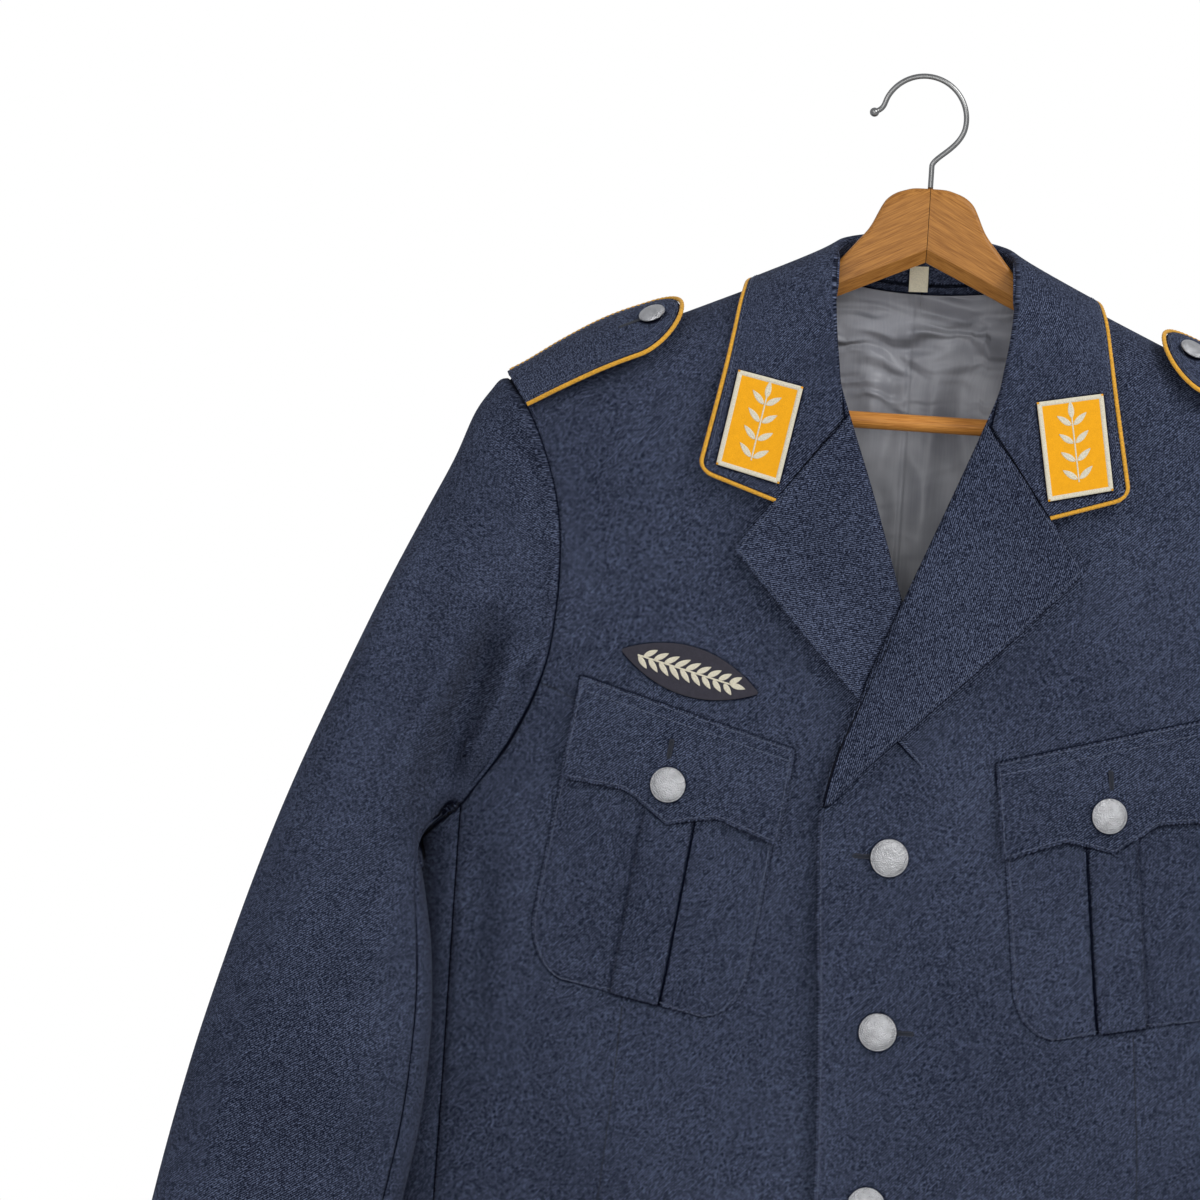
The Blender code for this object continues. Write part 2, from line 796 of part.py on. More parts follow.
def add_lapels(cloth, collection):
    for side_name, side in SIDES.items():
        points, normals = (mirrored(grid, side) for grid in lapel_grid(side_name))
        add_shell(
            f"lapel_{side_name}", points, normals, 0.0, TURNED_EDGE_CLOTH, cloth, collection
        )


def collar_vector(along, name):
    return Vector([COLLAR.at(along, f"{name}_{axis}") for axis in "xyz"])


def clear_of_body(point, lift):
    """The point moved forwards or backwards until it lies lift outside the body."""
    if point.z >= shoulder_z(point.x) + lift:
        return point
    face = "front" if point.y < RIDGE_Y else "back"
    skin = body_point(face, point.x, point.z, lift)
    y = min(point.y, skin.y) if face == "front" else max(point.y, skin.y)
    return Vector((point.x, y, point.z))


def collar_point(along, part):
    """A point of the collar's fall, from the fold to the outer edge, on the wearer's left."""
    fold = collar_vector(along, "fold")
    edge = collar_vector(along, "edge")
    point = fold.lerp(edge, part)
    notch = Vector((NOTCH_X, 0.0, NOTCH_Z))
    straight = fold.lerp(edge, COLLAR_CORNER)
    if part < COLLAR_CORNER:
        reach = part / COLLAR_CORNER
    else:
        reach = (1 - part) / (1 - COLLAR_CORNER)
    dip = COLLAR.at(along, "dip") * reach
    point.x += (notch.x - straight.x) * dip
    point.z += (notch.z - straight.z) * dip
    roll = COLLAR_ROLL * (1 - smooth(0.0, COLLAR_ROLL_WIDTH, part))
    return clear_of_body(point, COLLAR_LIFT + roll)


def collar_grid():
    """The fall from the left point round the neck to the right point."""
    parts = [COLLAR_CORNER * share for share in steps(COLLAR_NOTCH_COLUMN + 1)]
    parts += [lerp(COLLAR_CORNER, 1.0, share) for share in COLLAR_OUTER_SHARES]
    half = []
    for station in steps(COLLAR_STATIONS):
        half.append([collar_point(COLLAR_END * station, part) for part in parts])
    return half


def whole_collar(half):
    other = mirrored(half[1:], -1)
    return list(reversed(other)) + half


def neck_seam(along):
    """The edge of the neck that the collar's stand is sewn to, on the wearer's left."""
    if along <= NECK_STATION:
        x = NECK_POINT_X * (along / NECK_STATION) ** NECK_ROUNDING
        return body_point("back", x, back_top_z(x))
    z = lerp(NECK_POINT_Z, STAND_END_Z, (along - NECK_STATION) / (STAND_END - NECK_STATION))
    return body_point("front", FRONT_EDGE.at(z, "left_x"), z)


def stand_grid():
    half = []
    for station in steps(STAND_STATIONS):
        along = STAND_END * station
        fold = collar_vector(along, "fold")
        seam = neck_seam(along)
        rise = (fold - seam).normalized() * LAPEL_GAP
        top = fold - rise
        bottom = seam + rise
        half.append([top.lerp(bottom, part) for part in steps(STAND_ROWS)])
    return half


def outward_step(grid, row, column):
    """The way out of a grid at a point of its border, longer at a corner."""
    rows = len(grid)
    columns = len(grid[0])
    away = Vector((0.0, 0.0, 0.0))
    if column in (0, columns - 1):
        inner = 1 if column == 0 else columns - 2
        away += (grid[row][column] - grid[row][inner]).normalized()
    if row in (0, rows - 1):
        inner = 1 if row == 0 else rows - 2
        away += (grid[row][column] - grid[inner][column]).normalized()
    return away


def rim_path(grid, normals, rim, height):
    """A line just outside the border of a shell, at a height above its grid."""
    path = []
    for row, column in rim:
        away = outward_step(grid, row, column) * (PIPING_RADIUS + PIPING_GAP)
        path.append(grid[row][column] + normals[row][column] * height + away)
    return path


def add_collar(cloth, piping, collection):
    fall = whole_collar(collar_grid())
    normals = grid_normals(fall, Vector((0.0, -1.0, 0.0)))
    add_shell("collar_fall", fall, normals, 0.0, TURNED_EDGE_CLOTH, cloth, collection)
    last_row = len(fall) - 1
    last_column = len(fall[0]) - 1
    rim = [(0, column) for column in range(COLLAR_NOTCH_COLUMN, last_column)]
    rim += [(row, last_column) for row in range(last_row + 1)]
    rim += [(last_row, column) for column in range(last_column - 1, COLLAR_NOTCH_COLUMN - 1, -1)]
    path = rim_path(fall, normals, rim, TURNED_EDGE_CLOTH / 2)
    add_tube("collar_piping", path, PIPING_RADIUS, piping, collection)
    stand = whole_collar(stand_grid())
    normals = grid_normals(stand, Vector((0.0, -1.0, 0.0)))
    inside = -LAYER_GAP
    add_shell("collar_stand", stand, normals, inside - CLOTH, inside, cloth, collection)


def on_grid(grid, row, column):
    """The vector at a place between the points of a grid."""
    low_row = min(int(row), len(grid) - 2)
    low_column = min(int(column), len(grid[0]) - 2)
    part = column - low_column
    above = grid[low_row][low_column].lerp(grid[low_row][low_column + 1], part)
    below = grid[low_row + 1][low_column].lerp(grid[low_row + 1][low_column + 1], part)
    return above.lerp(below, row - low_row)


def place_on_grid(grid, x, z):
    """The row and column, between the points of a grid, of the place over x and z."""
    row = PATCH_MIDDLE_STATION
    column = float(COLLAR_NOTCH_COLUMN)
    for _ in range(GRID_SEARCH_STEPS):
        here = on_grid(grid, row, column)
        by_row = (on_grid(grid, row + GRID_REACH, column) - here) / GRID_REACH
        by_column = (on_grid(grid, row, column + GRID_REACH) - here) / GRID_REACH
        area = by_row.x * by_column.z - by_row.z * by_column.x
        off_x = x - here.x
        off_z = z - here.z
        row += (off_x * by_column.z - off_z * by_column.x) / area / 2
        column += (off_z * by_row.x - off_x * by_row.z) / area / 2
    return row, column


def add_collar_patches(cloth, collection):
    fall = collar_grid()
    fall_normals = grid_normals(fall, Vector((0.0, 1.0, 0.0)))
    lift = TURNED_EDGE_CLOTH + LAYER_GAP
    for side_name, side in SIDES.items():
        points = []
        normals = []
        for down in steps(PATCH_ROWS):
            corners = [corner_blend(COLLAR_PATCH_CORNERS, part, down) for part in steps(PATCH_COLUMNS)]
            places = [place_on_grid(fall, x, z) for x, z in corners]
            row_normals = [on_grid(fall_normals, *place) for place in places]
            bases = [on_grid(fall, *place) for place in places]
            points.append([base + normal * lift for base, normal in zip(bases, row_normals)])
            normals.append(row_normals)
        points, normals = mirrored(points, side), mirrored(normals, side)
        name = f"collar_patch_{side_name}"
        add_shell(name, points, normals, 0.0, PATCH_CLOTH, cloth, collection)


# Sleeves


def armhole_loop():
    """Points, normals and ways out round the armhole: down the front, then up the back."""
    front = front_grid("left")
    side = side_grid()
    back = back_grid()
    front_rows = range(len(SHOULDER_ANGLES) + FRONT_ARMHOLE_ROWS)
    back_rows = range(len(SHOULDER_ANGLES) + BACK_ARMHOLE_ROWS - 1, 0, -1)
    edges = [(front, (row, -1), (row, -2)) for row in front_rows]
    edges += [(side, (0, column), (1, column)) for column in range(1, SIDE_COLUMNS - 1)]
    edges += [(back, (row, -1), (row, -2)) for row in back_rows]
    loop = []
    for (points, normals), (row, column), (inner_row, inner_column) in edges:
        point = points[row][column]
        way_out = (point - points[inner_row][inner_column]).normalized()
        loop.append((point, normals[row][column], way_out))
    return loop


def loop_angles(loop):
    """How far round the sleeve each point of the armhole lies, from the shoulder tip forwards."""
    height = SHOULDER_TIP_Z - UNDERARM_Z
    angles = []
    for point, _, _ in loop:
        share = min(max((SHOULDER_TIP_Z - point.z) / height, 0.0), 1.0)
        angle = math.acos(1 - 2 * share)
        angles.append(angle if point.y < RIDGE_Y or share == 0.0 else 2 * math.pi - angle)
    return angles


def fold_depth(x, z):
    """How deep the troughs of the sleeve's front are at a place."""
    depth = 0.0
    for fold in SLEEVE_FOLDS:
        start = Vector(fold["start"])
        run = Vector(fold["end"]) - start
        part = (Vector((x, z)) - start).dot(run) / run.length_squared
        nearest = start + run * min(max(part, 0.0), 1.0)
        distance = (Vector((x, z)) - nearest).length / fold["width"]
        fade = smooth(*FOLD_START_FADE, part) * (1 - smooth(*FOLD_END_FADE, part))
        depth += fold["depth"] * fade * math.exp(-distance * distance)
    return depth


def sleeve_ring(along, loop, angles):
    outer = Vector((SLEEVE.at(along, "outer_x"), SLEEVE.at(along, "outer_z")))
    inner = Vector((SLEEVE.at(along, "inner_x"), SLEEVE.at(along, "inner_z")))
    follow = SLEEVE.at(along, "follow")
    half_depth = SLEEVE.at(along, "half_depth")
    ring = []
    for (edge, _, _), angle in zip(loop, angles):
        share = (1 + math.cos(angle)) / 2
        place = inner.lerp(outer, share)
        side = math.sin(angle)
        y = SLEEVE.at(along, "middle_y") - math.copysign(half_depth * abs(side) ** SLEEVE_ROUNDING, side)
        straight_x = lerp(UNDERARM_X, SHOULDER_TIP_X, share)
        x = place.x + follow * (edge.x - straight_x)
        y = lerp(y, edge.y, follow)
        if side > 0:
            y += fold_depth(x, place.y) * min(side * 2, 1.0)
        ring.append(Vector((x, y, place.y)))
    return ring


def sleeve_rings():
    """The whole sleeve as rings of points, with normals, from the armhole to the cuff."""
    loop = armhole_loop()
    angles = loop_angles(loop)
    rings = [sleeve_ring(along, loop, angles) for along in range(1, SLEEVE_RINGS)]
    rings.insert(0, [edge + way_out * SEAM_GAP for edge, _, way_out in loop])
    count = len(loop)
    normals = [[normal for _, normal, _ in loop]]
    for row in range(1, len(rings)):
        middle = sum(rings[row], Vector()) / count
        line = []
        for column in range(count):
            down = rings[min(row + 1, len(rings) - 1)][column] - rings[row - 1][column]
            across = rings[row][(column + 1) % count] - rings[row][column - 1]
            normal = across.cross(down).normalized()
            if normal.dot(rings[row][column] - middle) < 0:
                normal = -normal
            line.append(normal)
        normals.append(line)
    return rings, normals


def sleeve_piece(rings, normals, first, last):
    """The columns from first to last, drawn in by half a seam gap at both ends."""
    count = len(rings[0])
    columns = [column % count for column in range(first, last + 1)]
    points = []
    for ring in rings:
        line = [ring[column] for column in columns]
        start = line[0] + (line[1] - line[0]).normalized() * (SEAM_GAP / 2)
        end = line[-1] + (line[-2] - line[-1]).normalized() * (SEAM_GAP / 2)
        points.append([start] + line[1:-1] + [end])
    return points, [[line[column] for column in columns] for line in normals]


def add_sleeves(cloth, collection):
    rings, normals = sleeve_rings()
    count = len(rings[0])
    pieces = {
        "upper": (SLEEVE_BACK_SEAM, count + SLEEVE_FRONT_SEAM),
        "under": (SLEEVE_FRONT_SEAM, SLEEVE_BACK_SEAM),
    }
    for side_name, side in SIDES.items():
        for piece, (first, last) in pieces.items():
            grids = sleeve_piece(rings, normals, first, last)
            points, directions = (mirrored(grid, side) for grid in grids)
            name = f"sleeve_{piece}_{side_name}"
            add_shell(name, points, directions, -CLOTH, 0.0, cloth, collection)


# Pockets


def corner_blend(corners, across, down):
    """The x and z of a place between four corners: across from the inner side, down from the top."""
    top = [lerp(corners["inner_top"][axis], corners["outer_top"][axis], across) for axis in (0, 1)]
    bottom = [
        lerp(corners["inner_bottom"][axis], corners["outer_bottom"][axis], across)
        for axis in (0, 1)
    ]
    return lerp(top[0], bottom[0], down), lerp(top[1], bottom[1], down)


def pocket_place(across, down, under):
    x, z = corner_blend(POCKET_CORNERS, across, down)
    return on_front(x, z, under)


def pleat_height(across):
    """The box pleat stands out between its two folds."""
    rise = smooth(PLEAT_START - PLEAT_EDGE, PLEAT_START, across)
    fall = smooth(PLEAT_END, PLEAT_END + PLEAT_EDGE, across)
    return PLEAT_HEIGHT * (rise - fall)


def pocket_columns():
    left = [PLEAT_START - PLEAT_EDGE, PLEAT_START]
    right = [PLEAT_END, PLEAT_END + PLEAT_EDGE]
    inner = [left[0] * part for part in POCKET_SIDE_SHARES[:-1]]
    outer = [lerp(right[1], 1.0, part) for part in POCKET_SIDE_SHARES[1:]]
    return inner + left + [lerp(PLEAT_START, PLEAT_END, 0.5)] + right + outer


def pocket_grid(under):
    points = []
    normals = []
    relief = []
    for part in steps(POCKET_ROWS):
        down = lerp(POCKET_TOP, 1.0, part)
        round_part = max(0.0, (down - (1 - POCKET_CORNER_RADIUS)) / POCKET_CORNER_RADIUS)
        inset = POCKET_INSET + POCKET_CORNER_WIDTH * (1 - math.sqrt(1 - POCKET_CORNER_SWEEP * round_part**2))
        row = []
        for across in pocket_columns():
            if across < PLEAT_START:
                across = lerp(inset, PLEAT_START, across / PLEAT_START)
            elif across > PLEAT_END:
                across = lerp(PLEAT_END, 1 - inset, (across - PLEAT_END) / (1 - PLEAT_END))
            row.append(pocket_place(across, down, under))
        points.append([point for point, _ in row])
        normals.append([normal for _, normal in row])
        relief.append([pleat_height(across) for across in pocket_columns()])
    return points, normals, relief


def flap_bottom(across):
    """How far down the flap reaches: a point in the middle between two arches."""
    aside = abs(across - 0.5) * 2
    if aside < FLAP_ARCH_PLACE:
        return lerp(FLAP_POINT, FLAP_ARCH, (aside / FLAP_ARCH_PLACE) ** FLAP_POINT_CURVE)
    rest = (aside - FLAP_ARCH_PLACE) / (1 - FLAP_ARCH_PLACE)
    corner = smooth(1 - FLAP_CORNER, 1.0, aside) * FLAP_CORNER_RISE
    return lerp(FLAP_ARCH, FLAP_DEPTH, rest**FLAP_SIDE_CURVE) - corner


def flap_lift(down):
    """The flap rises from its seam over the pocket and its pleat."""
    over_pocket = LAYER_GAP * 2 + POCKET_CLOTH + PLEAT_HEIGHT
    return lerp(LAYER_GAP, over_pocket, smooth(0.0, FLAP_RISEN, down))


def flap_grid(under):
    points = []
    normals = []
    for part in steps(FLAP_ROWS):
        row = []
        row_normals = []
        for across in FLAP_COLUMNS:
            down = flap_bottom(across) * part
            point, normal = pocket_place(across, down, under)
            row.append(point + normal * flap_lift(down))
            row_normals.append(normal)
        points.append(row)
        normals.append(row_normals)
    return points, normals


def add_pockets(cloth, metal, collection):
    for side_name, side in SIDES.items():
        under = side_name == "right"
        points, normals, relief = pocket_grid(under)
        points, normals = mirrored(points, side), mirrored(normals, side)
        low = LAYER_GAP
        high = LAYER_GAP + POCKET_CLOTH
        name = f"chest_pocket_{side_name}"
        add_shell(name, points, normals, low, high, cloth, collection, relief)
        points, normals = (mirrored(grid, side) for grid in flap_grid(under))
        add_shell(
            f"chest_flap_{side_name}", points, normals, 0.0, POCKET_CLOTH, cloth, collection
        )
        point, normal = mirrored([pocket_place(0.5, FLAP_BUTTON_DOWN, under)], side)[0]
        point += normal * (flap_lift(FLAP_BUTTON_DOWN) + POCKET_CLOTH)
        name = f"button_chest_{side_name}"
        add_button(name, point, normal, FLAP_BUTTON_DIAMETER, metal, collection)


# Shoulder boards


def board_drop(across):
    return FRONT_SHOULDER_DROP * (1 - math.cos(across / FRONT_SHOULDER_DROP))


def board_place(along, across, height=0.0):
    """A point over the shoulder, along it from its tip and across it from the ridge forwards."""
    ahead = max(across, 0.0)
    x = SHOULDER_TIP_X - along * math.cos(math.atan(SHOULDER_SLOPE))
    point = body_point("front", x, shoulder_z(x) - board_drop(ahead))
    normal = body_normal("front", point)
    lift = BOARD_BOW.at(along / BOARD_LENGTH, "lift")
    behind = Vector((0.0, ahead - across, 0.0))
    return point + normal * (lift + height) + behind, normal


def board_start(across):
    """Where the board leaves the sleeve seam, measured along the shoulder."""
    x = settled(front_outer_x, shoulder_z, board_drop(across), SHOULDER_TIP_X)
    return (SHOULDER_TIP_X - x) / math.cos(math.atan(SHOULDER_SLOPE)) + 2 * SEAM_GAP


def board_grid():
    """Rows from the back edge to the front edge, each from the sleeve seam to the rounded end."""
    radius = BOARD_WIDTH / 2
    points = []
    normals = []
    for turn in steps(BOARD_ROWS):
        across = radius * (1 - math.cos(math.pi * turn))
        end = BOARD_LENGTH - radius + math.sqrt(max(radius**2 - (across - radius) ** 2, 0.0))
        start = board_start(across)
        row = [board_place(lerp(start, end, part), across) for part in steps(BOARD_COLUMNS)]
        points.append([point for point, _ in row])
        normals.append([normal for _, normal in row])
    return points, normals


def board_piping_line():
    """Just outside the board's front edge, rounded end and back edge."""
    radius = BOARD_WIDTH / 2
    reach = radius + PIPING_RADIUS + PIPING_GAP
    end = BOARD_LENGTH - radius
    places = []
    for part in steps(BOARD_PIPING_STEPS)[:-1]:
        places.append((lerp(board_start(BOARD_WIDTH) + PIPING_RADIUS, end, part), radius + reach))
    for part in steps(BOARD_PIPING_STEPS + 4):
        angle = math.pi * part
        places.append((end + reach * math.sin(angle), radius + reach * math.cos(angle)))
    for part in steps(BOARD_PIPING_STEPS)[1:]:
        places.append((lerp(end, board_start(0.0) + PIPING_RADIUS, part), radius - reach))
    return [board_place(*place, BOARD_THICKNESS / 2)[0] for place in places]


def add_boards(cloth, piping, metal, collection):
    for side_name, side in SIDES.items():
        points, normals = (mirrored(grid, side) for grid in board_grid())
        name = f"shoulder_board_{side_name}"
        add_shell(name, points, normals, 0.0, BOARD_THICKNESS, cloth, collection)
        line = mirrored([board_piping_line()], side)[0]
        name = f"board_piping_{side_name}"
        add_tube(name, line, PIPING_RADIUS, piping, collection)
        made = board_place(BOARD_BUTTON_ALONG, BOARD_BUTTON_ACROSS, BOARD_THICKNESS)
        point, normal = mirrored([made], side)[0]
        name = f"button_shoulder_{side_name}"
        add_button(name, point, normal, BOARD_BUTTON_DIAMETER, metal, collection)


# Badge, front buttons, lining and label


def add_badge(cloth, collection):
    """An almond-shaped patch above the right pocket."""
    side = SIDES["right"]
    points = []
    normals = []
    for up in steps(BADGE_ROWS):
        row = []
        row_normals = []
        for part in steps(BADGE_COLUMNS):
            along = 2 * part - 1
            half_height = BADGE_HEIGHT / 2 * (1 - BADGE_TAPER * along * along)
            rise = (1 - 2 * up) * half_height
            run = along * BADGE_LENGTH / 2
            x = BADGE_X + run * math.cos(BADGE_TILT) - rise * math.sin(BADGE_TILT)
            z = BADGE_Z + run * math.sin(BADGE_TILT) + rise * math.cos(BADGE_TILT)
            point, normal = on_front(x, z, True)
            row.append(point + normal * LAYER_GAP)
            row_normals.append(normal)
        points.append(row)
        normals.append(row_normals)
    points, normals = mirrored(points, side), mirrored(normals, side)
    add_shell("breast_badge", points, normals, 0.0, PATCH_CLOTH, cloth, collection)


def add_front_buttons(metal, collection):
    for index in range(FRONT_BUTTON_COUNT):
        z = FRONT_BUTTON_TOP_Z - index * FRONT_BUTTON_PITCH
        point, normal = on_front(0.0, z)
        name = f"button_front_{index + 1}"
        add_button(name, point, normal, FRONT_BUTTON_DIAMETER, metal, collection)


def lining_grid():
    """Both halves of the back from just below its neck edge, moved inwards."""
    halves = []
    for grid in back_grid():
        rows = grid[1:-1]
        hem = [low.lerp(above, LINING_HEM) for low, above in zip(grid[-1], grid[-2])]
        rows.append(hem)
        other = mirrored(rows, -1)
        halves.append([list(reversed(left)) + right for left, right in zip(other, rows)])
    points, normals = halves
    depth = CLOTH + LINING_GAP
    for row, directions in zip(points, normals):
        for column, direction in enumerate(directions):
            row[column] = row[column] - direction * depth
    return points, normals


def add_lining(lining, label, collection):
    points, normals = lining_grid()
    add_shell("lining_back", points, normals, -LINING_CLOTH, 0.0, lining, collection)

    mesh = bmesh.new()
    bmesh.ops.create_cube(mesh, size=1.0)
    top = Vector((LABEL_X, LABEL_TOP_Y, LABEL_TOP_Z))
    bottom = Vector((LABEL_X, LABEL_BOTTOM_Y, LABEL_BOTTOM_Z))
    height = (top - bottom).length
    bmesh.ops.scale(mesh, vec=(LABEL_WIDTH, LABEL_THICKNESS, height), verts=mesh.verts)
    plate = add_mesh("neck_label", mesh, label, collection)
    plate.location = (top + bottom) / 2
    plate.rotation_euler.x = -math.atan2(top.y - bottom.y, top.z - bottom.z)


# Hanger


def hanger_ring(x):
    top = HANGER.at(x, "top_z")
    bottom = HANGER.at(x, "bottom_z")
    thickness = HANGER.at(x, "half_thickness")
    ring = []
    for index in range(HANGER_RING):
        angle = 2 * math.pi * (index + 0.5) / HANGER_RING
        y = math.copysign(abs(math.cos(angle)) ** HANGER_ROUNDING, math.cos(angle)) * thickness
        up = math.copysign(abs(math.sin(angle)) ** HANGER_ROUNDING, math.sin(angle))
        ring.append(Vector((x, y, (top + bottom) / 2 + up * (top - bottom) / 2)))
    return ring


def add_hanger(wood, steel, collection, cutters):
    mesh = bmesh.new()
    bmesh.ops.create_cone(
        mesh,
        cap_ends=True,
        segments=BAR_SIDES,
        radius1=BAR_RADIUS,
        radius2=BAR_RADIUS,
        depth=2 * BAR_HALF_LENGTH,
    )
    bar = add_mesh("hanger_bar", mesh, wood, collection)
    mesh = bmesh.new()
    bmesh.ops.create_cone(
        mesh,
        cap_ends=True,
        segments=BAR_SIDES,
        radius1=BAR_RADIUS + SEAM_GAP,
        radius2=BAR_RADIUS + SEAM_GAP,
        depth=2 * (BAR_HALF_LENGTH + SEAM_GAP),
    )
    socket = add_mesh("bar_socket", mesh, wood, cutters)
    socket.hide_render = True
    socket.display_type = "WIRE"
    for rod in (bar, socket):
        rod.location.z = BAR_Z
        rod.rotation_euler.y = math.pi / 2

    stations = [max(row[0], HANGER_JOINT) for row in HANGER.rows]
    for side_name, side in SIDES.items():
        mesh = bmesh.new()
        rings = []
        for ring in mirrored([hanger_ring(x) for x in stations], side):
            rings.append([mesh.verts.new(point) for point in ring])
        for here, there in zip(rings, rings[1:]):
            for index in range(HANGER_RING):
                after = (index + 1) % HANGER_RING
                mesh.faces.new((here[index], here[after], there[after], there[index]))
        mesh.faces.new(rings[0])
        mesh.faces.new(rings[-1])
        arm = add_mesh(f"hanger_arm_{side_name}", mesh, wood, collection)
        cut = arm.modifiers.new("Bar socket", "BOOLEAN")
        cut.object = socket
        cut.solver = "EXACT"

    points, radii = hook_line()
    add_tube("hanger_hook", points, HOOK_WIRE_RADIUS, steel, collection, radii)


def ball_line(centre, run, angles):
    """Points through a ball, with the wire's radius swelling to the ball's."""
    points = [centre + run * HOOK_BALL_RADIUS * math.sin(angle) for angle in angles]
    radii = [HOOK_BALL_RADIUS * math.cos(angle) / HOOK_WIRE_RADIUS for angle in angles]
    return points, radii


def hook_line():
    """The hook's wire from the ball at its tip, over the top and down to the wood."""
    radius = HOOK_INNER_RADIUS + HOOK_WIRE_RADIUS
    centre_z = -math.sqrt(HOOK_INNER_RADIUS**2 - HOOK_CENTRE_X**2)
    centre = Vector((HOOK_CENTRE_X, 0.0, centre_z))
    ball_angles = [math.radians(angle) for angle in HOOK_BALL_ANGLES]
    start = math.radians(HOOK_START_ANGLE)
    tip = centre + Vector((math.cos(start), 0.0, math.sin(start))) * radius
    run = Vector((math.sin(start), 0.0, -math.cos(start)))
    points, radii = ball_line(tip - run * HOOK_BALL_RADIUS, run, ball_angles)
    for index in range(HOOK_TURNS):
        angle = math.radians(lerp(HOOK_START_ANGLE, HOOK_END_ANGLE, index / (HOOK_TURNS - 1)))
        points.append(centre + Vector((math.cos(angle), 0.0, math.sin(angle))) * radius)
        radii.append(1.0)
    end = points[-1]
    leave = (points[-1] - points[-2]).normalized()
    stem = Vector((0.0, 0.0, HOOK_STEM_TOP_Z))
    reach = (stem - end).length
    for part in HOOK_BEND_SHARES:
        bend = (1 - part) ** 2
        first = end + leave * reach * HOOK_BEND_PULL
        second = stem + Vector((0.0, 0.0, reach * HOOK_BEND_PULL))
        points.append(
            end * bend * (1 - part)
            + first * 3 * bend * part
            + second * 3 * (1 - part) * part * part
            + stem * part**3
        )
        radii.append(1.0)
    foot = Vector((0.0, 0.0, HANGER.at(0.0, "top_z") + HOOK_BALL_RADIUS + SEAM_GAP))
    foot_angles = [-angle for angle in reversed(ball_angles)]
    more, wide = ball_line(foot, Vector((0.0, 0.0, -1.0)), foot_angles)
    return points + more, radii + wide


def main():
    for old in list(bpy.data.objects):
        bpy.data.objects.remove(old, do_unlink=True)
    collection = bpy.data.collections.new(COLLECTION_NAME)
    bpy.context.scene.collection.children.link(collection)
    cutters = bpy.data.collections.new(CUTTER_COLLECTION_NAME)
    bpy.context.scene.collection.children.link(cutters)
    cloth = material("blue_grey_wool")
    piping = material("golden_piping")
    patch = material("golden_patch")
    badge = material("dark_badge_felt")
    lining = material("grey_satin")
    label = material("cream_label")
    silver = material("silver_buttons")
    wood = material("varnished_wood")
    steel = material("bright_steel")
    add_panels(cloth, collection)
    add_lapels(cloth, collection)
    add_collar(cloth, piping, collection)
    add_collar_patches(patch, collection)
    add_sleeves(cloth, collection)
    add_pockets(cloth, silver, collection)
    add_boards(cloth, piping, silver, collection)
    add_badge(badge, collection)
    add_front_buttons(silver, collection)
    add_lining(lining, label, collection)
    add_hanger(wood, steel, collection, cutters)


main()
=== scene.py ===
import math

import bpy
import numpy as np
from mathutils import Matrix, Vector


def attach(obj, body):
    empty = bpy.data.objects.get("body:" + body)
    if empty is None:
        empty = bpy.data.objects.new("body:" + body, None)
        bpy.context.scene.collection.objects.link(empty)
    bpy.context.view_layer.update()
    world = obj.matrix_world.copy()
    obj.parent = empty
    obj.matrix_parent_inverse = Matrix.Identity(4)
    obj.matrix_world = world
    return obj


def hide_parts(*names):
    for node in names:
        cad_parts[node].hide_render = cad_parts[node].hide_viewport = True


bl_info = {
    "name": "Dress uniform jacket on a wooden hanger",
    "version": (1, 0, 0),
    "blender": (4, 5, 0),
    "location": "3D View > Sidebar > Jacket",
    "description": "Dresses the packed jacket in twill, lining, trim and sewing",
    "category": "Object",
}

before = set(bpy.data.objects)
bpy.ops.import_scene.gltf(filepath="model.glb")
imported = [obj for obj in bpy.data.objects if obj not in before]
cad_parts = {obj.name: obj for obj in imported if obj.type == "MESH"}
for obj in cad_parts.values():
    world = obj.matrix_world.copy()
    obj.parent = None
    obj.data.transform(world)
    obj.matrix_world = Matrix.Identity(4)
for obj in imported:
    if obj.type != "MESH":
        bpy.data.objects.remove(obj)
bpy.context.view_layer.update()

SIDES = {"right": -1, "left": 1}

# Cloth walls and the gaps between pieces
CLOTH = 0.0016
LINING_CLOTH = 0.0010
POCKET_CLOTH = 0.0014
TURNED_EDGE_CLOTH = 0.0022
BOARD_THICKNESS = 0.0030
PATCH_CLOTH = 0.0012
SEAM_GAP = 0.00034
LAYER_GAP = 0.00045
LAPEL_GAP = 0.0009

# Body of the jacket
NECK_POINT_X = 0.060
NECK_POINT_Z = -0.105
SHOULDER_TIP_X = 0.227
SHOULDER_TIP_Z = -0.180
SHOULDER_SLOPE = (NECK_POINT_Z - SHOULDER_TIP_Z) / (SHOULDER_TIP_X - NECK_POINT_X)
RIDGE_Y = 0.008
FRONT_SHOULDER_DROP = 0.045
BACK_SHOULDER_DROP = 0.060
BACK_NECK_Z = -0.113
HEM_Z = -0.875
SIDE_FRONT_SEAM_X = 0.238
SIDE_BACK_SEAM_X = 0.220
ARMHOLE_FRONT_Z = -0.418
ARMHOLE_BACK_Z = -0.412
UNDERARM_X = 0.258
UNDERARM_Z = -0.436
SECTION_POWER = 2.4


def number_rows(text):
    """The numbers of a text, with a row to each line."""
    return [tuple(float(value) for value in line.split()) for line in text.strip().splitlines()]


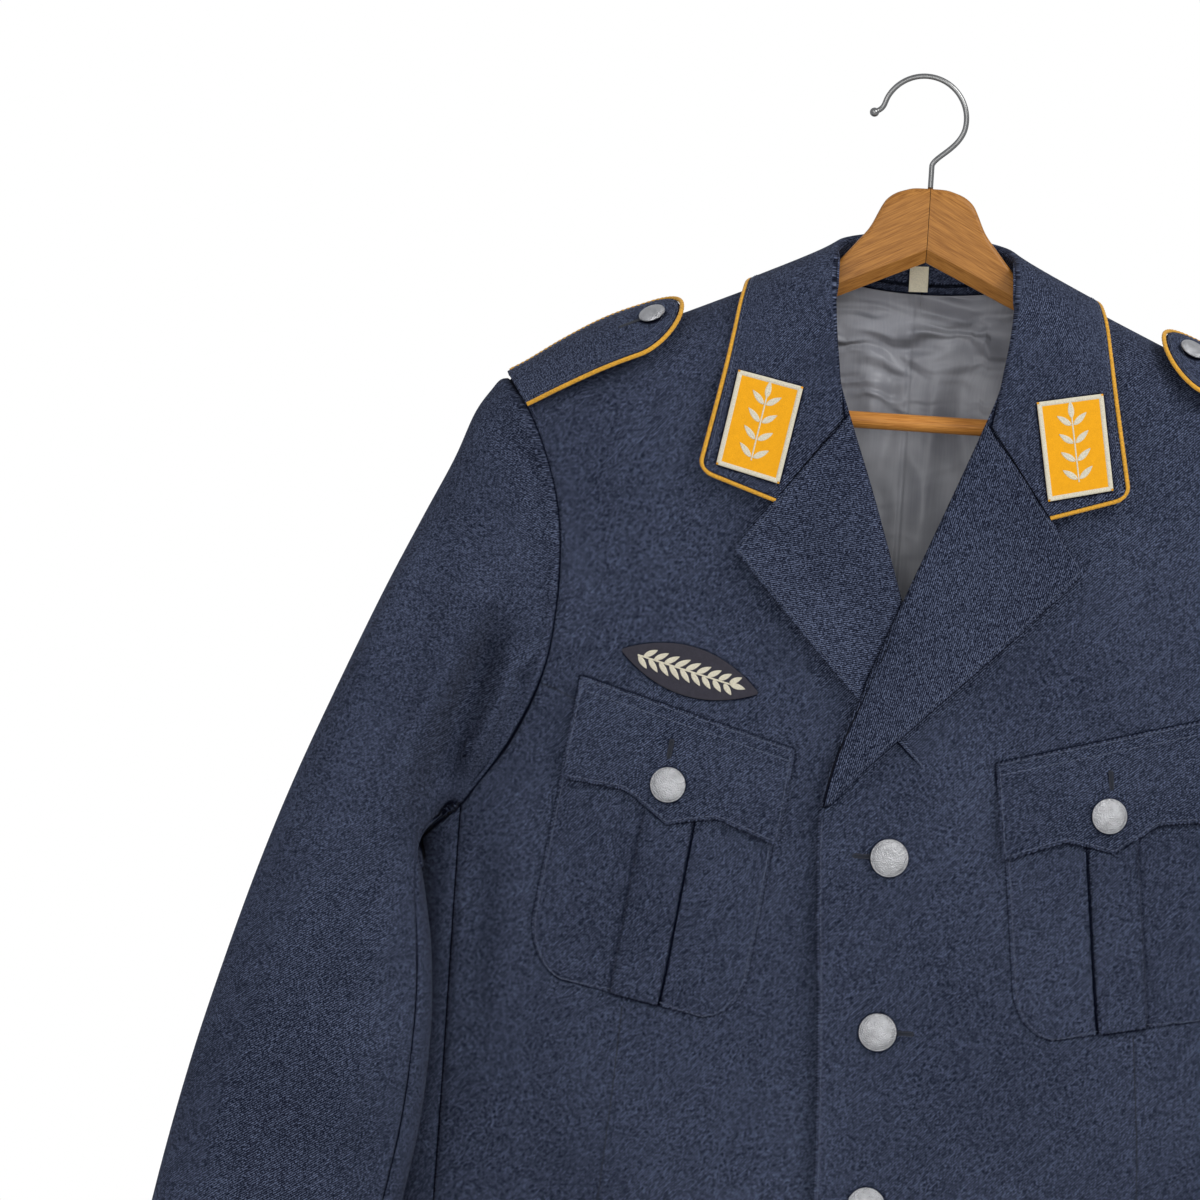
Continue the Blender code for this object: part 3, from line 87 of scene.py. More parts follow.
class Table:
    """Rows of named columns, read at any value of the first column along a smooth curve."""

    def __init__(self, text):
        names, numbers = text.strip().split("\n", 1)
        self.columns = names.split()
        self.rows = np.array(sorted(number_rows(numbers)))
        self.keys = self.rows[:, 0]

    def at(self, key, column):
        values = self.rows[:, self.columns.index(column)]
        last = len(self.keys) - 1
        key = np.clip(np.asarray(key, dtype=float), self.keys[0], self.keys[-1])
        low = np.clip(np.searchsorted(self.keys, key, side="right") - 1, 0, last - 1)
        below = np.maximum(np.arange(last + 1) - 1, 0)
        above = np.minimum(np.arange(last + 1) + 1, last)
        slopes = (values[above] - values[below]) / (self.keys[above] - self.keys[below])
        span = self.keys[low + 1] - self.keys[low]
        part = (key - self.keys[low]) / span
        rest = 1 - part
        return (
            rest * rest * (1 + 2 * part) * values[low]
            + rest * rest * part * slopes[low] * span
            + part * part * (3 - 2 * part) * values[low + 1]
            - part * part * rest * slopes[low + 1] * span
        )


BODY = Table("""
z half_width front_depth back_depth
-0.080 0.300 0.046 0.024
-0.180 0.285 0.046 0.028
-0.300 0.268 0.048 0.030
-0.436 0.258 0.050 0.029
-0.500 0.258 0.048 0.026
-0.560 0.260 0.047 0.025
-0.637 0.268 0.048 0.028
-0.720 0.275 0.051 0.032
-0.800 0.284 0.055 0.036
-0.875 0.292 0.058 0.039
""")
ARMHOLE = Table("""
z front_x back_x
-0.180 0.227 0.227
-0.196 0.216 0.217
-0.214 0.207 0.209
-0.239 0.198 0.203
-0.266 0.193 0.200
-0.301 0.192 0.199
-0.340 0.197 0.201
-0.380 0.213 0.208
-0.412 0.234 0.220
-0.418 0.238 0.223
""")
FRONT_EDGE = Table("""
z left_x right_x
-0.105 0.0600 0.0600
-0.112 0.0555 0.0555
-0.123 0.0515 0.0515
-0.145 0.0480 0.0480
-0.170 0.0440 0.0440
-0.193 0.0360 0.0360
-0.232 0.0210 0.0215
-0.292 -0.0025 0.0010
-0.344 -0.0220 -0.0170
-0.380 -0.0350 -0.0270
-0.410 -0.0400 -0.0310
-0.450 -0.0385 -0.0320
-0.528 -0.0330 -0.0320
-0.620 -0.0290 -0.0320
-0.875 -0.0270 -0.0320
""")
BREAK_Z = -0.410
UNDERLAP_SINK = 0.0054
UNDERLAP_OUTER_X = 0.120
UNDERLAP_INNER_X = 0.045
UNDERLAP_TOP_Z = -0.235
UNDERLAP_FULL_Z = -0.290
FRONT_ROWS = (
    (-0.178, -0.240),
    (-0.214, -0.266),
    (-0.253, -0.295),
    (-0.292, -0.325),
    (-0.330, -0.358),
    (-0.366, -0.390),
    (-0.392, ARMHOLE_FRONT_Z),
    (BREAK_Z, -0.436),
    (-0.440, -0.462),
    (-0.485, -0.500),
    (-0.535, -0.545),
    (-0.590, -0.595),
    (HEM_Z, HEM_Z),
)
BACK_ROWS = (
    (-0.210, -0.266),
    (-0.250, -0.295),
    (-0.290, -0.325),
    (-0.330, -0.358),
    (-0.368, -0.388),
    (ARMHOLE_BACK_Z, ARMHOLE_BACK_Z),
    (HEM_Z, HEM_Z),
)
SHOULDER_ROWS = 18
FRONT_ARMHOLE_ROW = 6
FRONT_BREAK_ROW = 7
BACK_ARMHOLE_ROW = 5
BACK_SLEEVE_SEAM_ROW = 3

# Lapels and collar
GORGE_X = 0.041
GORGE_Z = -0.191
NOTCH_X = 0.075
NOTCH_Z = -0.238
LAPEL_ROLL = 0.0036
LAPEL_EDGE_LIFT = 0.0036
LAPEL_TURN = math.radians(32)
LAPEL_EDGE = Table("""
down left_x left_z right_x right_z
0.00 0.097 -0.267 0.097 -0.267
0.35 0.057 -0.310 0.057 -0.310
0.60 0.021 -0.346 0.026 -0.342
0.85 -0.018 -0.385 -0.008 -0.374
1.00 -0.034 -0.404 -0.024 -0.390
""")
COLLAR = Table(f"""
along fold_x fold_y fold_z edge_x edge_y edge_z dip
0.0 0.0000 0.0370 -0.0835 0.0000 0.0420 -0.1260 0.0
1.0 0.0250 0.0335 -0.0845 0.0360 0.0400 -0.1250 0.0
2.0 0.0420 0.0200 -0.0890 0.0700 0.0290 -0.1210 0.0
3.0 0.0485 0.0020 -0.0950 0.0925 0.0090 -0.1165 0.0
4.0 0.0495 -0.0150 -0.1015 0.0985 -0.0180 -0.1260 0.0
5.0 0.0500 -0.0290 -0.1160 0.1030 -0.0340 -0.1500 0.0
6.0 0.0480 -0.0370 -0.1400 0.1080 -0.0400 -0.1780 0.12
7.0 0.0445 -0.0410 -0.1660 0.1130 -0.0420 -0.2040 0.45
8.0 {GORGE_X} -0.0420 {GORGE_Z} 0.1170 -0.0430 -0.2240 1.0
""")
COLLAR_CORNER = 0.55
COLLAR_INNER_COLUMNS = 20
COLLAR_LIFT = 0.0007
COLLAR_ROLL = 0.0030
NECK_STATION = 3.0
STAND_END = 5.0
STAND_END_Z = -0.130
PATCH_WIDTH = 0.0369
PATCH_HEIGHT = 0.0535
COLLAR_PATCH_CORNERS = ((0.0640, -0.1760), (0.1005, -0.1690), (0.0740, -0.2300), (0.1095, -0.2215))

# Sleeves
SLEEVE = Table("""
along outer_x outer_z inner_x inner_z middle_y half_depth follow
1.0 0.2335 -0.1835 0.2605 -0.4375 0.004 0.034 0.97
2.0 0.2440 -0.2000 0.2618 -0.4390 0.001 0.036 0.84
3.0 0.2540 -0.2270 0.2620 -0.4415 -0.003 0.038 0.60
4.0 0.2690 -0.2600 0.2610 -0.4445 -0.009 0.040 0.36
5.0 0.2880 -0.3030 0.2595 -0.4490 -0.016 0.041 0.16
6.0 0.3110 -0.3600 0.2560 -0.4570 -0.024 0.041 0.04
7.0 0.3300 -0.4100 0.2520 -0.4740 -0.031 0.040 0.0
8.0 0.3460 -0.4580 0.2475 -0.5010 -0.037 0.039 0.0
9.0 0.3610 -0.5100 0.2450 -0.5420 -0.042 0.038 0.0
10.0 0.3755 -0.5660 0.2480 -0.5950 -0.045 0.037 0.0
11.0 0.3890 -0.6300 0.2580 -0.6560 -0.046 0.035 0.0
12.0 0.4005 -0.6990 0.2680 -0.7210 -0.046 0.033 0.0
13.0 0.4120 -0.7880 0.2790 -0.8060 -0.045 0.030 0.0
""")
SLEEVE_ROWS = 85
SLEEVE_GRAIN_ROW = 44
SLEEVE_RELIEF_ROWS = (3, 13)
SLEEVE_FRONT_STRENGTH = 2.4
SLEEVE_HEAD_PARTS = (0.0, 0.15, 0.35, 0.6, 0.8)
SLEEVE_HEAD_PUFF = 0.0010
SLEEVE_FOLDS = number_rows("""
0.206 -0.338 0.236 -0.405 0.0055 0.0080
0.238 -0.204 0.200 -0.242 0.011 0.0040
0.226 -0.322 0.292 -0.480 0.012 0.0100
0.258 -0.290 0.318 -0.500 0.015 0.0080
""")

# Pockets and flaps
POCKET_CORNERS = ((0.055, -0.375), (0.176, -0.342), (0.074, -0.530), (0.196, -0.506))
POCKET_INSET = 0.018
POCKET_TOP = 0.28
POCKET_CORNER_RADIUS = 0.20
POCKET_CORNER_WIDTH = 0.20
PLEAT_START = 0.395
PLEAT_END = 0.600
PLEAT_HEIGHT = 0.0024
PLEAT_EDGE = 0.022
PLEAT_CREASE = 0.0014
PLEAT_CREASE_WIDTH = 0.008
FLAP_DEPTH = 0.350
FLAP_POINT = 0.395
FLAP_ARCH = 0.322
FLAP_ARCH_PLACE = 0.42
FLAP_CORNER = 0.06
FLAP_CORNER_RISE = 0.012
FLAP_BUTTON_DOWN = 0.258
FLAP_BUTTON_ACROSS = {"right": 0.525, "left": 0.485}

# Shoulder boards
BOARD_LENGTH = 0.1050
BOARD_WIDTH = 0.0460
BOARD_BOW = Table("""
along lift
0.0 0.0007
0.12 0.0022
0.35 0.0066
0.60 0.0096
0.85 0.0090
1.0 0.0070
""")
BOARD_BUTTON_ALONG = 0.090
BOARD_BUTTON_ACROSS = 0.026
PIPING_RADIUS = 0.0010
CORD_RADIUS = 0.0013
CORD_STRANDS = 3
CORD_TWIST = 0.0030
CORD_STEP = 0.00055
PIPING_GAP = 0.00035

# Badge and buttons
BADGE_X = 0.116
BADGE_Z = -0.336
BADGE_LENGTH = 0.078
BADGE_HEIGHT = 0.027
BADGE_TILT = math.radians(14)
FRONT_BUTTON_DIAMETER = 0.0210
FLAP_BUTTON_DIAMETER = 0.0195
BOARD_BUTTON_DIAMETER = 0.0150
FRONT_BUTTON_TOP_Z = -0.431
FRONT_BUTTON_PITCH = 0.096
FRONT_BUTTON_COUNT = 4

# Lining and label
LINING_GAP = 0.0009
LABEL_X = -0.0020
LABEL_TOP = (0.0292, -0.1020)
LABEL_BOTTOM = (0.0256, -0.1165)
LABEL_WIDTH = 0.0106
LABEL_THICKNESS = 0.0007

# Sewing
THREAD_RADIUS = 0.00022
STITCH_LENGTH = 0.0021
BOARD_STITCH_INSETS = (0.0024, 0.0082)
FLAP_TOP_STITCH_INSETS = (0.0014, 0.0072)
SLIT_HALF_WIDTH = 0.00075
DART_HALF_WIDTH = 0.00028
# A cut's area is never taken to be less than this share of its width times its length
SMALLEST_CUT_SHARE = 0.31

# Hanger
HANGER = Table("""
x top_z bottom_z half_thickness
0.0000 -0.0600 -0.1010 0.0068
0.0120 -0.0610 -0.1065 0.0068
0.0240 -0.0675 -0.1120 0.0068
0.0320 -0.0830 -0.1157 0.0068
0.0390 -0.0920 -0.1190 0.0067
0.0460 -0.1005 -0.1222 0.0066
0.0530 -0.1078 -0.1253 0.0065
0.0700 -0.1148 -0.1332 0.0064
0.1000 -0.1279 -0.1475 0.0062
0.1400 -0.1458 -0.1660 0.0062
0.1800 -0.1638 -0.1850 0.0062
0.2020 -0.1742 -0.1990 0.0062
0.2120 -0.1840 -0.1975 0.0050
""")
HANGER_JOINT = 0.00016
HANGER_BEVEL = 0.0070
HANGER_SLOPE = math.radians(28)
HANGER_END_X = 0.2119
HANGER_ROUNDNESS = 0.34
BAR_Z = -0.1905
BAR_RADIUS = 0.0047
BAR_HALF_LENGTH = 0.2000
HOOK_WIRE_RADIUS = 0.0015
HOOK_INNER_RADIUS = 0.0220
HOOK_CENTRE_X = -0.0060
HOOK_BALL_RADIUS = 0.0026
HOOK_START_ANGLE = 150
HOOK_END_ANGLE = -4
HOOK_STEM_TOP_Z = -0.0470
HOOK_TIP_X = -0.0338
HOOK_TIP_Z = -0.0195

# Soft folds: three points across and up, in millimetres out from the middle, with the
# width and the height of the fold; a trough has a height below zero
FOLD_STRENGTH = 1.35
FRONT_FOLDS = {
    "right": number_rows("""
201 -335 211 -366 229 -400 4.5 -3.2
190 -250 184 -300 188 -350 11 1.6
176 -222 168 -290 172 -345 12 -1.3
208 -410 206 -470 214 -560 12 1.8
186 -540 180 -620 188 -720 14 -1.6
226 -430 222 -500 226 -590 9 -2.0
142 -560 136 -660 146 -800 18 1.5
92 -560 96 -650 88 -780 16 -1.3
40 -520 52 -600 44 -760 15 1.2
120 -246 136 -276 160 -300 12 -1.0
226 -600 196 -612 160 -604 9 -1.4
232 -640 206 -662 176 -668 11 1.2
"""),
    "left": number_rows("""
-40 -424 -34 -600 -30 -860 9 2.0
201 -338 212 -368 229 -401 4.5 -3.0
190 -246 185 -296 189 -346 12 1.5
174 -226 168 -288 171 -340 13 -1.2
138 -330 150 -322 172 -320 6 -1.0
210 -412 204 -480 210 -570 12 1.7
224 -434 222 -506 225 -600 9 -1.8
186 -560 176 -640 182 -760 15 -1.4
132 -560 140 -670 130 -800 18 1.4
84 -560 76 -660 84 -790 16 -1.3
30 -540 22 -640 32 -780 15 1.1
110 -250 128 -282 152 -306 12 -0.9
"""),
}
LAPEL_FOLDS = {
    "left": ((22, -247, 44, -248, 66, -250, 2.2, -0.9), (40, -300, 30, -320, 16, -338, 8, 0.6)),
    "right": ((58, -262, 66, -282, 64, -300, 9, 0.6), (30, -250, 26, -290, 14, -330, 9, -0.5)),
}
BACK_FOLDS = number_rows("""
70 -140 60 -200 66 -280 16 -1.4
150 -190 142 -260 150 -360 14 1.6
186 -230 180 -300 186 -380 10 -1.6
206 -410 188 -450 150 -480 10 -1.8
204 -450 170 -492 120 -510 12 1.5
96 -500 90 -600 102 -760 18 1.6
40 -560 46 -660 36 -800 17 -1.4
170 -540 162 -650 172 -810 17 -1.6
""")
SLEEVE_FRONT_FOLDS = number_rows("""
208 -334 224 -374 238 -406 5 3.6
217 -296 240 -372 262 -456 9 -4.2
232 -270 258 -356 286 -466 12 2.8
206 -226 232 -250 262 -262 8 1.8
226 -300 262 -352 282 -395 9 -2.2
214 -280 240 -330 258 -372 7 1.4
250 -430 268 -455 300 -470 8 -1.8
246 -500 276 -520 316 -524 9 -1.7
246 -540 284 -560 330 -556 11 1.3
262 -600 300 -612 344 -604 10 -1.4
318 -380 336 -450 352 -530 14 -1.4
290 -560 306 -640 320 -740 15 1.6
340 -600 356 -680 368 -770 13 -1.4
262 -250 284 -300 304 -360 12 1.2
""")
SLEEVE_BACK_FOLDS = number_rows("""
226 -300 268 -350 296 -400 11 -2.0
250 -440 290 -470 330 -476 10 -2.0
250 -500 292 -530 344 -530 11 1.6
262 -590 306 -612 360 -606 12 -1.6
320 -400 340 -480 356 -560 15 1.5
300 -620 318 -700 330 -780 16 -1.4
""")
LINING_FOLDS = number_rows("""
-47 -130 -28 -131 -8 -137 2.2 -1.8
-47 -135 -26 -138 -12 -144 2.0 1.7
-44 -142 -32 -147 -20 -157 2.4 1.5
10 -121 28 -125 47 -133 2.0 -1.8
14 -126 32 -132 47 -139 2.2 1.9
4 -129 18 -131 30 -128 1.8 1.5
18 -141 34 -143 47 -149 2.4 1.7
-40 -152 -20 -150 0 -155 2.6 1.7
2 -146 22 -151 42 -147 2.4 -1.7
-52 -142 -10 -136 40 -146 5 2.2
-50 -152 -14 -149 20 -154 4 -1.8
6 -140 28 -150 50 -152 4 2.0
-36 -160 -22 -176 -30 -206 6 2.4
-18 -150 -12 -186 -22 -226 5 -1.8
16 -152 10 -190 16 -236 5 1.8
30 -150 26 -180 34 -220 6 -1.8
-8 -200 8 -226 4 -270 6 2.2
-24 -214 -14 -246 -22 -290 6 -1.8
40 -160 48 -200 42 -240 6 2.0
""")

# Darts and the short chest seam: across and up in millimetres
SEAM_LINES = {
    "right": (
        ((141, -522), (144, -580), (148, -640), (146, -720), (140, -780)),
        ((197, -348), (188, -351), (177, -356)),
    ),
    "left": (
        ((141, -520), (147, -580), (150, -640), (148, -720), (141, -780)),
        ((197, -346), (188, -349), (178, -353)),
    ),
}


def lerp(start, end, part):
    return start + (end - start) * part


def smooth(start, end, value):
    part = np.clip((value - start) / (end - start), 0.0, 1.0)
    return part * part * (3 - 2 * part)


def steps(count):
    return np.linspace(0.0, 1.0, count)


def unit(vectors):
    return vectors / np.maximum(np.linalg.norm(vectors, axis=-1, keepdims=True), 1e-12)


def join(x, y, z):
    return np.stack(np.broadcast_arrays(x, y, z), axis=-1).astype(float)


def mirrored(vectors, side):
    return vectors * np.array((side, 1.0, 1.0))


def mirrored_all(grids, side):
    return [mirrored(grid, side) for grid in grids]


def distances(points, axis):
    """How far each point lies from the first one, along the rows (1) or the columns (0)."""
    step = np.linalg.norm(np.diff(points, axis=axis), axis=-1)
    return np.concatenate((np.zeros_like(np.take(step, [0], axis)), np.cumsum(step, axis=axis)), axis=axis)


def fold_heights(x, z, folds):
    """The height of the soft folds over each place."""
    x, z = np.broadcast_arrays(x * 1000, z * 1000)
    total = np.zeros(x.shape)
    turn = steps(7)
    for x0, z0, x1, z1, x2, z2, width, height in folds:
        near = (x > min(x0, x1, x2) - 3 * width) & (x < max(x0, x1, x2) + 3 * width)
        near &= (z > min(z0, z1, z2) - 3 * width) & (z < max(z0, z1, z2) + 3 * width)
        if not near.any():
            continue
        px, pz = x[near], z[near]
        curve_x = (1 - turn) * (1 - 2 * turn) * x0 + 4 * turn * (1 - turn) * x1 + turn * (2 * turn - 1) * x2
        curve_z = (1 - turn) * (1 - 2 * turn) * z0 + 4 * turn * (1 - turn) * z1 + turn * (2 * turn - 1) * z2
        best = np.full(px.shape, 1e9)
        along = np.zeros(px.shape)
        for index in range(len(turn) - 1):
            run_x = curve_x[index + 1] - curve_x[index]
            run_z = curve_z[index + 1] - curve_z[index]
            part = (px - curve_x[index]) * run_x + (pz - curve_z[index]) * run_z
            part = np.clip(part / (run_x * run_x + run_z * run_z), 0.0, 1.0)
            gap = np.hypot(px - curve_x[index] - part * run_x, pz - curve_z[index] - part * run_z)
            closer = gap < best
            best = np.where(closer, gap, best)
            along = np.where(closer, (index + part) / (len(turn) - 1), along)
        fade = smooth(0.0, 0.3, along) * (1 - smooth(0.7, 1.0, along))
        total[near] += FOLD_STRENGTH * height / 1000 * fade * np.exp(-((best / width) ** 2))
    return total


def unevenness(x, z, start):
    """The slight waves of hanging cloth."""
    waves = np.sin(31 * x + 17 * z + start) * np.sin(23 * z - 13 * x + 1.7 * start)
    waves += 0.5 * np.sin(67 * x - 29 * z + 2.3 * start) * np.sin(41 * z + 9 * x)
    return 0.0005 * waves


# Jacket body surface


def shoulder_z(x):
    return NECK_POINT_Z - (np.abs(x) - NECK_POINT_X) * SHOULDER_SLOPE


def side_fullness(x, z):
    share = np.minimum(np.abs(x) / BODY.at(z, "half_width"), 0.999)
    return (1 - share**SECTION_POWER) ** (1 / SECTION_POWER)


def underlap(x, z):
    across = 1 - smooth(UNDERLAP_INNER_X, UNDERLAP_OUTER_X, x)
    down = 1 - smooth(UNDERLAP_FULL_Z, UNDERLAP_TOP_Z, z)
    return UNDERLAP_SINK * across * down


def face_shape(face):
    if face == "back":
        return "back_depth", BACK_SHOULDER_DROP, 1
    return "front_depth", FRONT_SHOULDER_DROP, -1


def body_point(face, x, z, spread=0.0, under=False):
    column, shoulder_drop, direction = face_shape(face)
    depth = (BODY.at(z, column) + spread) * side_fullness(x, z)
    share = np.clip((shoulder_z(x) + spread - z) / (shoulder_drop + spread), 0.0, 1.0)
    y = RIDGE_Y + direction * depth * np.sqrt(1 - (1 - share) ** 2)
    if under:
        y = y + underlap(x, z)
    return join(x, y, z)


def body_excess(face, point, under):
    column, shoulder_drop, _ = face_shape(face)
    x, y, z = point[..., 0], point[..., 1], point[..., 2]
    depth = BODY.at(z, column) * side_fullness(x, z)
    if under:
        y = y - underlap(x, z)
    share = np.minimum((shoulder_z(x) - z) / shoulder_drop, 1.0)
    return ((y - RIDGE_Y) / depth) ** 2 + (1 - share) ** 2


def body_normal(face, point, under=False):
    reach = 0.0002
    gradient = []
    for axis in range(3):
        move = np.zeros(3)
        move[axis] = reach
        gradient.append(body_excess(face, point + move, under) - body_excess(face, point - move, under))
    return unit(np.stack(gradient, axis=-1))


def front_relief(side_name, x, z):
    start = 0.6 if side_name == "left" else 2.1
    heights = fold_heights(x, z, FRONT_FOLDS[side_name]) + unevenness(x, z, start)
    return heights * (1 - smooth(-0.165, -0.12, z))


def back_relief(x, z):
    heights = fold_heights(x, z, BACK_FOLDS) + unevenness(x, z, 4.0)
    return heights * (1 - smooth(-0.165, -0.12, z)) * smooth(0.0, 0.02, x)


def on_front(side_name, x, z, height=0.0):
    """The point at a height over the folded front, and the way out of the cloth."""
    under = side_name == "right"
    point = body_point("front", x, z, under=under)
    normal = body_normal("front", point, under)
    rise = front_relief(side_name, x, z) + height
    return point + normal * rise[..., None], normal


# Grids of the panels


def front_outer_x(z):
    return np.where(z < ARMHOLE_FRONT_Z, SIDE_FRONT_SEAM_X, ARMHOLE.at(z, "front_x"))


def back_outer_x(z):
    return np.where(z < ARMHOLE_BACK_Z, SIDE_BACK_SEAM_X, ARMHOLE.at(z, "back_x"))


def back_inner_x(z):
    return SEAM_GAP / 2 + 0 * z


def back_top_z(x):
    neck = lerp(BACK_NECK_Z, NECK_POINT_Z, (x / NECK_POINT_X) ** 2)
    return np.where(x > NECK_POINT_X, shoulder_z(x), neck)


def settled(edge_x, top_z, drop, start_x):
    x = start_x
    for _ in range(12):
        x = edge_x(top_z(x) - drop)
    return x


def panel_places(face, inner_x, columns, row_step, crowding=1.0):
    """Where a panel's grid lies, round the shoulder first and then down, and its seam rows."""
    shoulder_drop = face_shape(face)[1]
    if face == "front":
        outer_x, top_z, rows, inner_start_x = front_outer_x, shoulder_z, FRONT_ROWS, NECK_POINT_X
    else:
        outer_x, top_z, rows, inner_start_x = back_outer_x, back_top_z, BACK_ROWS, 0.0
    share = steps(columns) ** crowding
    across_rows = []
    height_rows = []
    for angle in np.linspace(0, math.pi / 2, SHOULDER_ROWS):
        drop = shoulder_drop * (1 - math.cos(angle))
        start_x = settled(inner_x, top_z, drop, inner_start_x)
        end_x = settled(outer_x, top_z, drop, SHOULDER_TIP_X)
        across = lerp(start_x, end_x, share)
        across_rows.append(across)
        height_rows.append(top_z(across) - drop)
    inner_z, outer_z = height_rows[-1][0], height_rows[-1][-1]
    marks = []
    for next_inner, next_outer in rows:
        count = math.ceil(max(inner_z - next_inner, outer_z - next_outer) / row_step)
        for part in steps(count + 1)[1:]:
            start_z = lerp(inner_z, next_inner, part)
            end_z = lerp(outer_z, next_outer, part)
            across_rows.append(lerp(inner_x(start_z), outer_x(end_z), share))
            height_rows.append(lerp(start_z, end_z, share))
        marks.append(len(across_rows) - 1)
        inner_z, outer_z = next_inner, next_outer
    return np.array(across_rows), np.array(height_rows), marks


def front_surface(side_name, folded=True):
    under = side_name == "right"
    x, z, marks = panel_places("front", lambda z: FRONT_EDGE.at(z, side_name + "_x"), 88, 0.0046)
    points = body_point("front", x, z, under=under)
    normals = body_normal("front", points, under)
    if folded:
        points = points + normals * front_relief(side_name, x, z)[..., None]
    return points, normals, marks


def back_surface(folded=True):
    x, z, marks = panel_places("back", back_inner_x, 50, 0.0055)
    points = body_point("back", x, z)
    normals = body_normal("back", points)
    if folded:
        points = points + normals * back_relief(x, z)[..., None]
    return points, normals, marks


def section_point(z, angle):
    front = angle < math.pi / 2
    depth = np.where(front, -BODY.at(z, "front_depth"), BODY.at(z, "back_depth"))
    x = BODY.at(z, "half_width") * np.sin(angle) ** (2 / SECTION_POWER)
    return join(x, RIDGE_Y + depth * np.abs(np.cos(angle)) ** (2 / SECTION_POWER), z)


def section_angle(face, x, z):
    share = np.minimum(x / BODY.at(z, "half_width"), 1.0)
    angle = np.arcsin(share ** (SECTION_POWER / 2))
    return angle if face == "front" else math.pi - angle


def side_top_z(angle):
    quarter = math.pi / 2
    front_angle = section_angle("front", SIDE_FRONT_SEAM_X, ARMHOLE_FRONT_Z)
    back_angle = section_angle("back", SIDE_BACK_SEAM_X, ARMHOLE_BACK_Z)
    edge_angle = np.where(angle < quarter, front_angle, back_angle)
    edge_z = np.where(angle < quarter, ARMHOLE_FRONT_Z, ARMHOLE_BACK_Z)
    return lerp(UNDERARM_Z, edge_z, ((angle - quarter) / (edge_angle - quarter)) ** 2)


def side_surface(side_name, folded=True):
    rows, columns = 90, 26
    down = steps(rows)[:, None] ** 1.2
    part = np.broadcast_to(steps(columns)[None, :], (rows, columns))
    z = np.full(part.shape, ARMHOLE_FRONT_Z)
    for _ in range(5):
        front_angle = section_angle("front", SIDE_FRONT_SEAM_X + SEAM_GAP, z)
        back_angle = section_angle("back", SIDE_BACK_SEAM_X + SEAM_GAP, z)
        angle = lerp(front_angle, back_angle, part)
        z = lerp(side_top_z(angle), HEM_Z, down)
    points = section_point(z, angle)
    faces = (points[..., 1] < RIDGE_Y)[..., None]
    normals = np.where(faces, body_normal("front", points), body_normal("back", points))
    front = front_relief(side_name, points[..., 0], z) * (1 - smooth(0.2, 0.5, part))
    back = back_relief(points[..., 0], z) * smooth(0.5, 0.8, part)
    if folded:
        points = points + normals * (front + back)[..., None]
    return points, normals


def cell_normals(points, toward):
    """Normals of a grid of points, turned so that the middle one points the way given."""
    down = np.gradient(points, axis=0)
    across = np.gradient(points, axis=1)
    normals = unit(np.cross(across, down))
    row, column = points.shape[0] // 2, points.shape[1] // 2
    return normals if normals[row, column] @ np.array(toward) > 0 else -normals


def rounded_corner(first, second, first_start, second_start):
    """Two shares from 0 to 1 whose corner at 1, 1 is drawn in to a round one."""
    a = np.maximum((first - first_start) / (1 - first_start), 1e-9)
    b = np.maximum((second - second_start) / (1 - second_start), 1e-9)
    keep = np.where((a > 1e-6) & (b > 1e-6), np.maximum(a, b) / np.hypot(a, b), 1.0)
    first = np.where(a > 1e-6, lerp(first_start, 1.0, a * keep), first)
    second = np.where(b > 1e-6, lerp(second_start, 1.0, b * keep), second)
    return first, second


def turned_over(points, normals, thickness, behind, dropped=3, leg=0.0045):
    """The outer face of a turned-back edge with the roll that carries it behind the cloth."""
    start, normal = points[:, :1], normals[:, :1]
    down = unit(points[:, 4:5] - start)
    behind = np.broadcast_to(behind, (len(points),))[:, None, None]
    radius = (thickness + behind) / 2
    centre = start + down * radius + normal * (thickness - behind) / 2
    turn = np.linspace(math.pi, 0.0, 13)[None, 1:, None]
    arc = centre + normal * radius * np.cos(turn) - down * radius * np.sin(turn)
    arc_normals = normal * np.cos(turn) - down * np.sin(turn)
    back = np.linspace(1.0, 0.0, 5)[None, :, None]
    inner = start - normal * behind + down * (radius + back * leg)
    face = points[:, dropped:] + normals[:, dropped:] * thickness
    grid = np.concatenate((inner, arc, face), axis=1)
    ways = np.concatenate((np.broadcast_to(-normal, inner.shape), arc_normals, normals[:, dropped:]), axis=1)
    low = np.full(grid.shape[:2], -thickness + 0.0002)
    low[:, : inner.shape[1] + arc.shape[1]] = -0.0009
    return grid, ways, low


def lapel_surface(side_name):
    under = side_name == "right"
    down, part = np.meshgrid(steps(112), steps(60), indexing="ij")
    up, part = rounded_corner(1 - down, part, 0.98, 0.965)
    down = lerp(-0.008, 1.0, 1 - up)
    roll_z = lerp(GORGE_Z, BREAK_Z + 0.004, down)
    roll_x = FRONT_EDGE.at(roll_z, side_name + "_x") + 0.0004
    x = lerp(roll_x, LAPEL_EDGE.at(down, side_name + "_x"), part)
    z = lerp(roll_z, LAPEL_EDGE.at(down, side_name + "_z"), part)
    covered = smooth(0.15, 0.45, down) if under else 0.6 * smooth(0.55, 0.95, down)
    roll = LAPEL_ROLL * (1 - covered) * np.sin(math.pi * np.minimum(part / 0.75, 1.0))
    top = smooth(0.16, 0.0, down) * smooth(0.50, 0.75, part)
    lift = LAPEL_EDGE_LIFT * np.maximum(smooth(0.6, 1.0, part) * (1 - smooth(0.8, 1.0, down)), top)
    crease = fold_heights(x, z, LAPEL_FOLDS[side_name])
    return on_front(side_name, x, z, LAPEL_GAP + roll + lift + crease)


